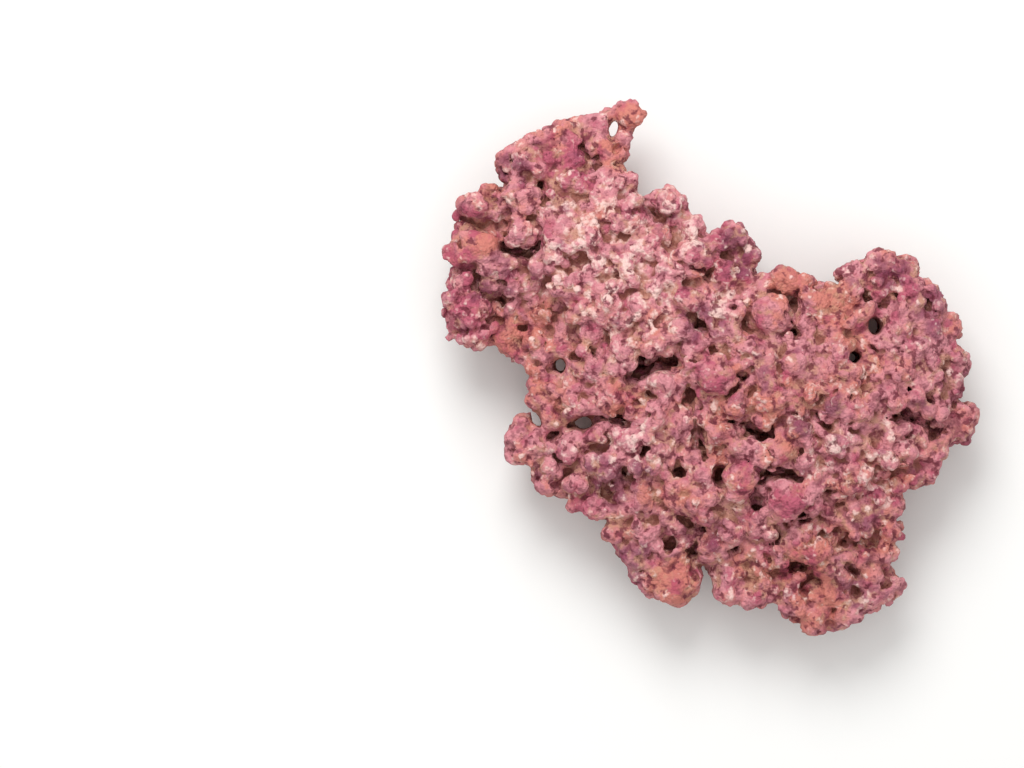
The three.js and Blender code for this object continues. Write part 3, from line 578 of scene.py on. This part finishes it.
def grow_lumps(block, top, width, height, groove, seed, held_down, knobs):
    """Swells the skin into round lumps, as far as the solid's box allows, with grooves between them.

    On the given knobs they are held down by a share of their height, and on thin tips and bridges too.
    Gives a function that tells what lumps() does at places on the grown skin.
    """
    index, places = block.near_skin(inside=SINKING * height + 1, outside=RISING * height + 1)
    before = Block(block.values.copy(), block.low, block.step)
    slopes = before.slopes()
    thinness = block.blurred(THIN_RADIUS * height).values[index] - block.values[index]
    slope = np.stack([part.values[index] for part in slopes], axis=1)
    rise, seam, _ = lumps(feet(places, block.values[index], slope), width, seed)
    vigour = np.clip(VIGOUR + VIGOUR_DRIFT * drift(places, VIGOUR_LENGTH * width, seed + 4), *VIGOUR_RANGE)
    vigour *= (1 - held_down * on_knobs(places, top, knobs)) * (1 - EYELET_CALM * by_eyelets(places))
    level, fall = THIN_FADE
    vigour *= np.clip(level - fall * thinness / height, THIN_VIGOUR, 1)
    grooved = np.clip(GROOVED + GROOVE_DRIFT * drift(places, GROOVE_LENGTH * width, seed + 5), 0, 1)
    rise = (height * (rise - rise.mean()) - groove * seam * grooved) * vigour
    block.values[index] -= np.minimum(rise, ROOM_SHARE * room_at(places))

    def grown_at(grown):
        slope = np.stack([part.read(grown) for part in slopes], axis=1)
        return lumps(feet(grown, before.read(grown), slope).astype(np.float32), width, seed)

    return grown_at


def add_cracks(block, top):
    """Cuts the cracks. Each leans towards the back as it goes down, and narrows to its ends and floor."""
    for number, (path, width, depth) in enumerate(CRACKS):
        xs, ys = zip(*path)
        z = float(top(np.mean(xs), np.mean(ys)))
        low = (min(xs) - CRACK_ROOM, min(ys) - CRACK_ROOM, z - depth - CRACK_ROOM_UP)
        high = (max(xs) + CRACK_ROOM, max(ys) + CRACK_ROOM + CRACK_LEAN * depth, z + CRACK_ROOM_UP)
        part, x, y, z = strayed(block, low, high, CRACK_STRAY, CRACK_SEED + number)
        drop = top(x, y) - z
        y = y - CRACK_LEAN * np.maximum(drop, 0)
        narrowing = np.clip(1 - drop / depth, 0, CRACK_FLARE) ** CRACK_TAPER
        slot = np.full(x.shape, FAR)
        length = sum(math.dist(a, b) for a, b in itertools.pairwise(path))
        gone = 0
        for (ax, ay), (bx, by) in itertools.pairwise(path):
            run = math.dist((ax, ay), (bx, by))
            along = np.clip(((x - ax) * (bx - ax) + (y - ay) * (by - ay)) / run**2, 0, 1)
            away = np.hypot(x - ax - along * (bx - ax), y - ay - along * (by - ay))
            place = (gone + along * run) / length
            swell = CRACK_ENDS + (1 - CRACK_ENDS) * np.sin(np.pi * place)
            slot = np.minimum(slot, away - 0.5 * width * narrowing * swell)
            gone += run
        block.values[part] = cut(block.values[part], np.maximum(slot, drop - depth), CRACK_WEAR * width)


def add_pits(block, top):
    """Sinks the pits, as uneven bowls with worn edges."""
    for number, (x, y, radius, depth) in enumerate(PITS):
        z = float(top(x, y))
        reach = PIT_REACH * radius + PIT_ROOM
        low = (x - reach, y - reach, z - depth - PIT_ROOM_DOWN)
        high = (x + reach, y + reach, z + PIT_ROOM_UP)
        part, px, py, pz = strayed(block, low, high, PIT_STRAY, PIT_SEED + number)
        drop = z - pz
        half = radius * np.clip(PIT_MOUTH - drop / depth, 0, PIT_FLARE) ** PIT_ROUND
        bowl = np.maximum(np.hypot(px - x, py - y) - half, drop - depth)
        block.values[part] = cut(block.values[part], bowl, PIT_WEAR * radius)


def open_eyelets(block):
    """Bores the eyelets and the notch through the rock, a little wider towards both of its faces."""
    for x, y, half_x, half_y, turn in EYELETS:
        angle = math.radians(turn)
        reach = EYELET_REACH * max(half_x, half_y)
        low = (x - reach, y - reach, LOW[2] - EYELET_ROOM)
        part, (px, py, pz) = block.window(low, (x + reach, y + reach, HIGH[2] + EYELET_ROOM))
        along = ((px - x) * math.cos(angle) + (py - y) * math.sin(angle)) / half_x
        across = ((py - y) * math.cos(angle) - (px - x) * math.sin(angle)) / half_y
        flare = 1 + EYELET_FLARE * np.abs(pz - EYELET_THROAT)
        bore = (np.hypot(along, across) - flare) * min(half_x, half_y)
        block.values[part] = cut(block.values[part], bore, EYELET_WEAR)


def keep_in_box(block):
    """Keeps the skin inside the solid's own box, which also wears the feet flat."""
    _, (x, y, z) = block.window(block.at(0) - 1, block.at(np.array(block.values.shape)) + 1)
    middle = (LOW + HIGH) / 2
    half = (HIGH - LOW) / 2
    for axis, place in enumerate((x, y, z)):
        np.maximum(block.values, np.abs(place - middle[axis]) - half[axis], out=block.values)


def skins_at(block, level):
    """All closed skins of the block at a distance, as points in mm and four-sided faces."""
    grid = openvdb.FloatGrid(float(block.values.max()))
    grid.transform = openvdb.createLinearTransform(voxelSize=block.step)
    grid.copyFromArray(block.values, ijk=tuple(int(n) for n in block.low))
    points, _, quads = grid.convertToPolygons(isovalue=level, adaptivity=0)
    return points, quads


def measure_again(block):
    """Puts the distances right again after growth has stretched them."""
    points, quads = skins_at(block, 0)
    block.values = distances(points, block.step, quads=quads).values


def round_off(block, radius):
    """Rounds what stands out to a radius and leaves creases sharp. Thin parts only lose a little."""
    points, quads = skins_at(block, -radius)
    core = distances(points, block.step, quads=quads)
    block.values = np.minimum(core.values - radius, block.values + THIN_LOSS)


def skin(block):
    """The largest closed skin of the block, as points in mm and four-sided faces."""
    points, quads = skins_at(block, 0)
    quads = quads.astype(np.int64)
    label = np.arange(len(points))
    while True:
        least = label[quads].min(axis=1)
        spread = label.copy()
        np.minimum.at(spread, quads.ravel(), np.repeat(least, 4))
        spread = spread[spread]
        if (spread == label).all():
            break
        label = spread
    wanted = np.bincount(label).argmax()
    kept = label == wanted
    renumber = np.cumsum(kept) - 1
    return points[kept], renumber[quads[kept[quads[:, 0]]]]


def mesh_object(name, points, faces):
    mesh = bpy.data.meshes.new(name)
    mesh.vertices.add(len(points))
    mesh.vertices.foreach_set("co", np.ascontiguousarray(points, np.float32).ravel())
    mesh.loops.add(faces.size)
    mesh.loops.foreach_set("vertex_index", np.ascontiguousarray(faces, np.int32).ravel())
    mesh.polygons.add(len(faces))
    starts = np.arange(len(faces), dtype=np.int32) * faces.shape[1]
    mesh.polygons.foreach_set("loop_start", starts)
    mesh.update(calc_edges=True)
    mesh.shade_smooth()
    piece = bpy.data.objects.new(name, mesh)
    bpy.context.scene.collection.objects.link(piece)
    return piece


def places_of(piece):
    """Places of the points of a piece's mesh, one row for each."""
    places = np.empty(len(piece.data.vertices) * 3, np.float32)
    piece.data.vertices.foreach_get("co", places)
    return places.reshape(-1, 3)


def thin(piece, triangles):
    """Thins a mesh that is still in mm to a number of triangles, the more the lower on the rock."""
    layer = (places_of(piece)[:, 2] / HIGH[2] * LAYER_COUNT).astype(int).clip(0, LAYER_COUNT - 1)
    group = piece.vertex_groups.new(name="thinning")
    for n in range(LAYER_COUNT):
        group.add(np.nonzero(layer == n)[0].tolist(), 1 - TOP_SPARED * n / LAYER_COUNT, "REPLACE")
    modifier = piece.modifiers.new("thin", "DECIMATE")
    modifier.ratio = triangles / (2 * len(piece.data.polygons))
    modifier.vertex_group = group.name
    modifier.vertex_group_factor = SPARING
    with bpy.context.temp_override(object=piece):
        bpy.ops.object.modifier_apply(modifier=modifier.name)
    piece.vertex_groups.clear()


def paint(piece, name, values):
    """Stores one number from 0 to 1 for each point of the mesh, for the material to read."""
    attribute = piece.data.attributes.new(name, "FLOAT", "POINT")
    attribute.data.foreach_set("value", np.clip(values, 0, 1).astype(np.float32))


def patch(places, patches):
    """How far places lie in any of some round patches of the broad face, from 0 to 1."""
    most = np.zeros(len(places))
    for x, y, radius in patches:
        away = np.hypot(places[:, 0] - x, places[:, 1] - y) / radius
        np.maximum(most, fade(away, *PATCH_FADE), out=most)
    return most


def grow_rock(shape):
    """The whole rock as one mesh object, with what its material reads stored on its points."""
    step = shape.grid_step / MM * 1
    cleft = shape.cleft / MM
    block = distances_to_solid(step).blurred(shape.softening / MM)
    strengthen(block, shape.relief_radius / MM, shape.relief)
    make_room(block, shape.nodule_height / MM)
    round_off(block, shape.roundness / MM)
    top = broad_face(block)
    add_knobs(block, top, ROUGH_KNOBS, cleft, flatness=0.8, fillet=1.2)
    add_knobs(block, top, SMOOTH_KNOBS, cleft, flatness=0.7, fillet=1.6)
    sizes = (shape.knob_width / MM, shape.knob_height / MM, shape.knob_groove / MM)
    grow_lumps(block, top, *sizes, KNOB_SEED, held_down=0.85, knobs=ROUGH_KNOBS + SMOOTH_KNOBS)
    measure_again(block)
    top = broad_face(block)
    add_cracks(block, top)
    add_pits(block, top)
    sizes = (shape.nodule_width / MM, shape.nodule_height / MM, shape.nodule_groove / MM)
    nodules_at = grow_lumps(block, top, *sizes, NODULE_SEED, held_down=0.35, knobs=SMOOTH_KNOBS)
    open_eyelets(block)
    sizes = (shape.granule_width / MM, shape.granule_height / MM, 0)
    grow_lumps(block, top, *sizes, GRANULE_SEED, held_down=0.3, knobs=SMOOTH_KNOBS)
    keep_in_box(block)
    points, quads = skin(block)
    piece = mesh_object("coralline_rock", points, quads)
    thin(piece, shape.triangles)
    places = places_of(piece).clip(LOW, HIGH).astype(np.float32)
    piece.data.vertices.foreach_set("co", (places * MM).astype(np.float32).ravel())
    piece.data.update()

    _, seam, tint = nodules_at(places)
    paint(piece, "seam", seam)
    paint(piece, "tint", tint)
    upright = block.blurred(FACING_RADIUS)
    ahead = np.array((0, 0, step))
    facing = (upright.read(places + ahead) - upright.read(places - ahead)) / (2 * step)
    # How far the skin turns away from the sky, which the material darkens as painted shade.
    paint(piece, "turned away", (FACING_LEVEL - facing) / FACING_WIDTH)
    # Caps and hollows; the material darkens the hollows, partly as painted shade.
    for name, radius in RELIEF_RADII.items():
        relief = block.blurred(radius).read(places)
        paint(piece, name, 0.5 + RELIEF_SPREAD * relief / relief.std())
    paint(piece, "calm", on_knobs(places, top, SMOOTH_KNOBS))
    below = top(places[:, 0], places[:, 1]) - places[:, 2]
    open_share = 1 - np.clip((below - OPEN_DEPTH) / OPEN_FADE, 0, 1)
    for name, patches in PATCHES.items():
        paint(piece, name, patch(places, patches) * open_share)
    return piece


# Materials


def add_node(tree, kind, inputs=None, **settings):
    """Adds a node with its settings. Each input is a value, or the output of another node to link from."""
    made = tree.nodes.new(kind)
    for name, value in settings.items():
        setattr(made, name, value)
    for socket, value in (inputs or {}).items():
        if isinstance(value, bpy.types.NodeSocket):
            tree.links.new(value, made.inputs[socket])
        else:
            made.inputs[socket].default_value = value
    return made


def new_material(name, roughness, ior):
    """A material with a plain Principled shader, its node tree and that shader."""
    material = bpy.data.materials.new(name)
    material.use_nodes = True
    shader = material.node_tree.nodes["Principled BSDF"]
    shader.inputs["Roughness"].default_value = roughness
    shader.inputs["IOR"].default_value = ior
    return material, material.node_tree, shader


# Numbers from 0 to 1 that the rock's mesh stores for its material
STORED = ("tint", "seam", *RELIEF_RADII, "turned away", "calm", *PATCHES)

# Noises: size in mm, detail and seed
NOISES = {
    "young": (24, 3, 1),
    "fresh": (9, 3, 7),
    "old": (10, 3, 4),
    "worn": (8, 2, 6),
    "mottle": (4.5, 2, 2),
    "spots": (4.2, 2, 8),
    "grain": (2.2, 2, 3),
}

# A Mix node's sockets for colours, which share their names with its other ones
MIX_A, MIX_B, MIX_RESULT = 6, 7, 2

# What scuffs the crust pale. Dark red scabs last where there is least of it.
SCUFFING = {"mottle": 1, "grain": 0.5, "fine relief": 0.14, "seam": -0.05, "tint": 0.14}

# Layers over the rose ground, each on top of the last: its colour, the sums at which it starts and is full,
# the most that it covers, and what is summed with which weight
LAYERS = (
    ("salmon", 0.7, 0.96, 1.0, {"young": 1, "mottle": 0.3, "salmon growth": 0.28, "tint": 0.2}),
    ("crimson", 0.6, 0.84, 0.8, {"fresh": 1, "mottle": 0.4, "crimson growth": 0.18, "tint": -0.2}),
    ("mauve", 0.62, 0.86, 0.75, {"old": 1, "grain": 0.2, "mauve growth": 0.18, "calm": -0.06}),
    ("tan", 0.57, 0.8, 0.8, {"worn": 1, "mottle": 0.5, "broad relief": -0.2, "fine relief": -0.1}),
    ("pale", 0.95, 1.2, 0.85, {**SCUFFING, "pale ground": 0.14, "calm": -0.04}),
    # Dark red scabs of the crust itself; their relief weights gather them a little into hollows as painted
    # shade.
    ("speck", 0.88, 0.66, 0.6, {**SCUFFING, "pale ground": 0.08, "calm": 0.03}),
    ("speck", 0.74, 0.61, 0.85, {"spots": 1, "grain": 0.4, "fine relief": 0.15, "calm": 0.02}),
    # Painted shade together with a browner, thinner crust: darker on faces turned away from the sky.
    ("silt_and_shade", 0.7, 1.45, 0.5, {"turned away": 1, "mottle": 0.6, "grain": 0.3}),
    # Silt in the hollows, darkened further with painted shade where shade falls.
    ("silt_and_shade", -0.3, 0.1, 0.7, {"fine relief": -0.6, "broad relief": -1, "mottle": 0.7}),
    # Painted shade: the darkest brown, in the deepest hollows and crack floors.
    ("shade", -0.56, -0.16, 0.62, {"fine relief": -0.6, "broad relief": -1}),
)


def coralline_crust(colours):
    """Coralline algae dried on porous coral limestone: a chalky, uneven, matt crust.

    Grown in thin overlapping scabs, it goes from rose to salmon and mauve over a few centimetres, is
    scuffed pale where it stands proud, and is browned by silt and old algae in its hollows. Painted
    shade darkens the hollows and crack floors further, and the faces turned away from the sky.
    scuffed pale where it stands proud, and is browned by silt and old algae in its hollows.
    """
    material, tree, shader = new_material("dried coralline crust", roughness=0.85, ior=1.5)
    place = add_node(tree, "ShaderNodeTexCoord").outputs["Object"]

    # What the layers are mixed by: numbers stored on the mesh, and noises by their size in mm.
    values = {}
    for name in STORED:
        values[name] = add_node(tree, "ShaderNodeAttribute", attribute_name=name).outputs["Fac"]
    for name, (size, detail, seed) in NOISES.items():
        inputs = {"Vector": place, "W": seed, "Scale": 1 / (size * MM), "Detail": detail, "Roughness": 0.5}
        values[name] = add_node(tree, "ShaderNodeTexNoise", inputs, noise_dimensions="4D").outputs["Fac"]

    crust = (*colours.rose, 1)
    for tint, low, high, most, weights in LAYERS:
        total = 0.0
        for name, weight in weights.items():
            inputs = {0: values[name], 1: weight, 2: total}
            total = add_node(tree, "ShaderNodeMath", inputs, operation="MULTIPLY_ADD").outputs[0]
        inputs = {"Value": total, "From Min": low, "From Max": high, "To Max": most}
        share = add_node(tree, "ShaderNodeMapRange", inputs, interpolation_type="SMOOTHSTEP").outputs[0]
        inputs = {0: share, MIX_A: crust, MIX_B: (*getattr(colours, tint), 1)}
        crust = add_node(tree, "ShaderNodeMix", inputs, data_type="RGBA").outputs[MIX_RESULT]
    tree.links.new(crust, shader.inputs["Base Color"])

    inputs = {"Value": values["grain"], "From Min": 0.3, "From Max": 0.7, "To Min": 0.75, "To Max": 0.95}
    roughness = add_node(tree, "ShaderNodeMapRange", inputs).outputs[0]
    tree.links.new(roughness, shader.inputs["Roughness"])

    # A real crust's grains are finer still. These are as fine as the picture shows.
    grain_width, bend_length, bend, bump_height = 1.6 * MM, 3 * MM, 1.5 * MM, 0.9 * MM
    grain_weight, coarse_weight = -0.8, 0.6
    inputs = {"Vector": place, "Scale": 1 / bend_length}
    stray = add_node(tree, "ShaderNodeTexNoise", inputs).outputs["Color"]
    inputs = {0: stray, 1: (bend,) * 3, 2: place}
    bent = add_node(tree, "ShaderNodeVectorMath", inputs, operation="MULTIPLY_ADD").outputs[0]
    inputs = {"Vector": bent, "Scale": 1 / grain_width}
    grains = add_node(tree, "ShaderNodeTexVoronoi", inputs).outputs["Distance"]
    inputs = {0: values["grain"], 1: coarse_weight}
    coarse = add_node(tree, "ShaderNodeMath", inputs, operation="MULTIPLY").outputs[0]
    inputs = {0: grains, 1: grain_weight, 2: coarse}
    height = add_node(tree, "ShaderNodeMath", inputs, operation="MULTIPLY_ADD").outputs[0]
    inputs = {"Height": height, "Distance": bump_height, "Strength": 1.0}
    bump = add_node(tree, "ShaderNodeBump", inputs)
    tree.links.new(bump.outputs[0], shader.inputs["Normal"])
    return material


def paper_floor(colour):
    """Matt seamless paper: an even, pale sweep that only takes a soft shadow."""
    material, _, shader = new_material("seamless paper", roughness=0.9, ior=1.45)
    shader.inputs["Base Color"].default_value = (*colour, 1)
    return material


# Stage


def add_floor(settings):
    half = settings.floor_size / 2
    corners = np.array([(-half, -half, 0), (half, -half, 0), (half, half, 0), (-half, half, 0)])
    floor = mesh_object("floor", corners, np.array([[0, 1, 2, 3]]))
    floor.data.materials.append(paper_floor(settings.floor_colour))


def add_lights(scene, settings):
    """A broad soft light from the back and above, and a white sky that is brighter overhead."""
    horizon, overhead = 0.45, 1.25
    light = bpy.data.lights.new("key", "AREA")
    light.shape = "DISK"
    light.size = 0.9
    light.energy = settings.key_power
    key = bpy.data.objects.new("key", light)
    key.location = (-0.25, 0.95, 1.15)
    key.rotation_euler = (-Vector(key.location)).to_track_quat("-Z", "Y").to_euler()
    scene.collection.objects.link(key)
    world = bpy.data.worlds.new("even sky")
    world.use_nodes = True
    tree = world.node_tree
    tree.nodes["Background"].inputs["Color"].default_value = (1, 1, 1, 1)
    direction = add_node(tree, "ShaderNodeTexCoord").outputs["Generated"]
    height = add_node(tree, "ShaderNodeSeparateXYZ", {0: direction}).outputs["Z"]
    inputs = {"Value": height, "To Min": horizon * settings.sky, "To Max": overhead * settings.sky}
    strength = add_node(tree, "ShaderNodeMapRange", inputs).outputs[0]
    tree.links.new(strength, tree.nodes["Background"].inputs["Strength"])
    scene.world = world
    scene.view_settings.view_transform = "Standard"


def add_camera(scene, settings):
    """Straight above, as the photograph is taken, with the rock in the right half of the frame."""
    x, y, height = -99.6 * MM, -8.2 * MM, 45 * MM  # of the middle of the frame, over the floor
    lens = bpy.data.cameras.new("camera")
    lens.sensor_width = 36
    lens.lens = lens.sensor_width * settings.distance / settings.frame_width
    camera = bpy.data.objects.new("camera", lens)
    camera.location = (x, y, height + settings.distance)
    lens.clip_end = 20
    scene.collection.objects.link(camera)
    scene.camera = camera


# Add-on


class RockShape(bpy.types.PropertyGroup):
    """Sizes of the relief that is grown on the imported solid."""

    grid_step: FloatProperty(
        name="Grid step",
        description="Spacing of the grid that the rock is sculpted on",
        default=0.9 * MM,
        unit="LENGTH",
    )
    softening: FloatProperty(
        name="Softening",
        description="Radius over which the facets of the packed solid are softened",
        default=1.1 * MM,
        unit="LENGTH",
    )
    relief: FloatProperty(
        name="Relief",
        description="How much the solid's knobs and crevices are strengthened",
        default=0.9,
        subtype="FACTOR",
    )
    relief_radius: FloatProperty(
        name="Relief radius",
        description="Size of the knobs and crevices that are strengthened",
        default=4.0 * MM,
        unit="LENGTH",
    )
    roundness: FloatProperty(
        name="Roundness",
        description="Least radius of what stands out before lumps grow on it",
        default=2.5 * MM,
        unit="LENGTH",
    )
    cleft: FloatProperty(
        name="Cleft",
        description="Width of the clefts round the large knobs",
        default=1.3 * MM,
        unit="LENGTH",
    )
    knob_width: FloatProperty(
        name="Knob width",
        description="Distance between knobs",
        default=11.5 * MM,
        unit="LENGTH",
    )
    knob_height: FloatProperty(
        name="Knob height",
        description="Height of a knob over the deepest creases round it",
        default=7.5 * MM,
        unit="LENGTH",
    )
    knob_groove: FloatProperty(
        name="Knob groove",
        description="Depth of the grooves between knobs",
        default=2.2 * MM,
        unit="LENGTH",
    )
    nodule_width: FloatProperty(
        name="Nodule width",
        description="Distance between the nodules on the knobs",
        default=5.8 * MM,
        unit="LENGTH",
    )
    nodule_height: FloatProperty(
        name="Nodule height",
        description="Height of a nodule over the deepest creases round it",
        default=3.2 * MM,
        unit="LENGTH",
    )
    nodule_groove: FloatProperty(
        name="Nodule groove",
        description="Depth of the grooves between nodules",
        default=1.2 * MM,
        unit="LENGTH",
    )
    granule_width: FloatProperty(
        name="Granule width",
        description="Distance between the granules on the nodules",
        default=2.8 * MM,
        unit="LENGTH",
    )
    granule_height: FloatProperty(
        name="Granule height",
        description="Height of a granule over the deepest creases round it",
        default=1.45 * MM,
        unit="LENGTH",
    )
    triangles: IntProperty(
        name="Triangles",
        description="Triangles left in the rock's mesh",
        default=195000,
    )


class CrustColours(bpy.types.PropertyGroup):
    """Colours of the dried crust, and of the painted shade in its hollows."""

    rose: FloatVectorProperty(
        name="Rose", description="Most of the crust", subtype="COLOR", default=linear("d48a92")
    )
    salmon: FloatVectorProperty(
        name="Salmon", description="Smooth young growth", subtype="COLOR", default=linear("cc7a6e")
    )
    tan: FloatVectorProperty(
        name="Tan", description="Old crust gone beige", subtype="COLOR", default=linear("c08d74")
    )
    crimson: FloatVectorProperty(
        name="Crimson", description="Deep red growth", subtype="COLOR", default=linear("ae4460")
    )
    mauve: FloatVectorProperty(
        name="Mauve", description="Purple growth on some knobs", subtype="COLOR", default=linear("7a3852")
    )
    pale: FloatVectorProperty(
        name="Pale", description="Scuffed and bleached crust", subtype="COLOR", default=linear("f2cfc7")
    )
    speck: FloatVectorProperty(
        name="Speck", description="Dark red scabs", subtype="COLOR", default=linear("6e2434")
    )
    # Silt together with painted shade: for hollows and for faces turned away from the sky.
    silt_and_shade: FloatVectorProperty(
        name="Silt", description="Silt and old algae in hollows", subtype="COLOR", default=linear("93604f")
    )
    # Painted shade for deep hollows and the floors of cracks.
    shade: FloatVectorProperty(
        name="Shade", description="Stained floors of cracks", subtype="COLOR", default=linear("8a4a40")
    )


class StageSettings(bpy.types.PropertyGroup):
    """Floor, lights and camera."""

    floor_colour: FloatVectorProperty(
        name="Floor", description="Colour of the paper", subtype="COLOR", default=linear("f4f4f2")
    )
    floor_size: FloatProperty(
        name="Floor size", description="Side of the paper", default=8.0, unit="LENGTH"
    )
    key_power: FloatProperty(
        name="Key light", description="Power of the soft light from the back", default=14.0, unit="POWER"
    )
    sky: FloatProperty(
        name="Sky", description="Strength of the white light from all round", default=0.8
    )
    frame_width: FloatProperty(
        name="Frame width", description="Width that the camera takes in", default=0.512, unit="LENGTH"
    )
    distance: FloatProperty(
        name="Camera distance", description="From the camera to the rock", default=3.2, unit="LENGTH"
    )


class REEFROCK_OT_grow(bpy.types.Operator):
    """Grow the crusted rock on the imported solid"""

    bl_idname = "reefrock.grow"
    bl_label = "Grow rock"
    bl_options = {"REGISTER", "UNDO"}

    def execute(self, context):
        rock = grow_rock(context.scene.reefrock_shape)
        rock.data.materials.append(coralline_crust(context.scene.reefrock_colours))
        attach(rock, "root")
        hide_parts(NODE)
        return {"FINISHED"}


class REEFROCK_OT_stage(bpy.types.Operator):
    """Set up the floor, the lights and the camera"""

    bl_idname = "reefrock.stage"
    bl_label = "Set up stage"
    bl_options = {"REGISTER", "UNDO"}

    def execute(self, context):
        settings = context.scene.reefrock_stage
        add_floor(settings)
        add_lights(context.scene, settings)
        add_camera(context.scene, settings)
        return {"FINISHED"}


class REEFROCK_PT_panel(bpy.types.Panel):
    """Lists the rock's sizes and colours and the buttons that build it"""

    bl_idname = "REEFROCK_PT_panel"
    bl_label = "Dry Reef Rock"
    bl_space_type = "VIEW_3D"
    bl_region_type = "UI"
    bl_category = "Reef Rock"

    def draw(self, context):
        for operator in (REEFROCK_OT_grow, REEFROCK_OT_stage):
            self.layout.operator(operator.bl_idname)
        for name in ("reefrock_shape", "reefrock_colours", "reefrock_stage"):
            group = getattr(context.scene, name)
            box = self.layout.box()
            for prop in group.bl_rna.properties:
                if prop.identifier not in ("rna_type", "name"):
                    box.prop(group, prop.identifier)


SETTINGS = {
    "reefrock_shape": RockShape,
    "reefrock_colours": CrustColours,
    "reefrock_stage": StageSettings,
}
CLASSES = [*SETTINGS.values(), REEFROCK_OT_grow, REEFROCK_OT_stage, REEFROCK_PT_panel]


def register():
    for made in CLASSES:
        bpy.utils.register_class(made)
    for name, group in SETTINGS.items():
        setattr(bpy.types.Scene, name, PointerProperty(type=group))


def unregister():
    for name in SETTINGS:
        delattr(bpy.types.Scene, name)
    for made in reversed(CLASSES):
        bpy.utils.unregister_class(made)


def main():
    register()
    bpy.ops.reefrock.stage()
    bpy.ops.reefrock.grow()


if __name__ == "__main__":
    main()
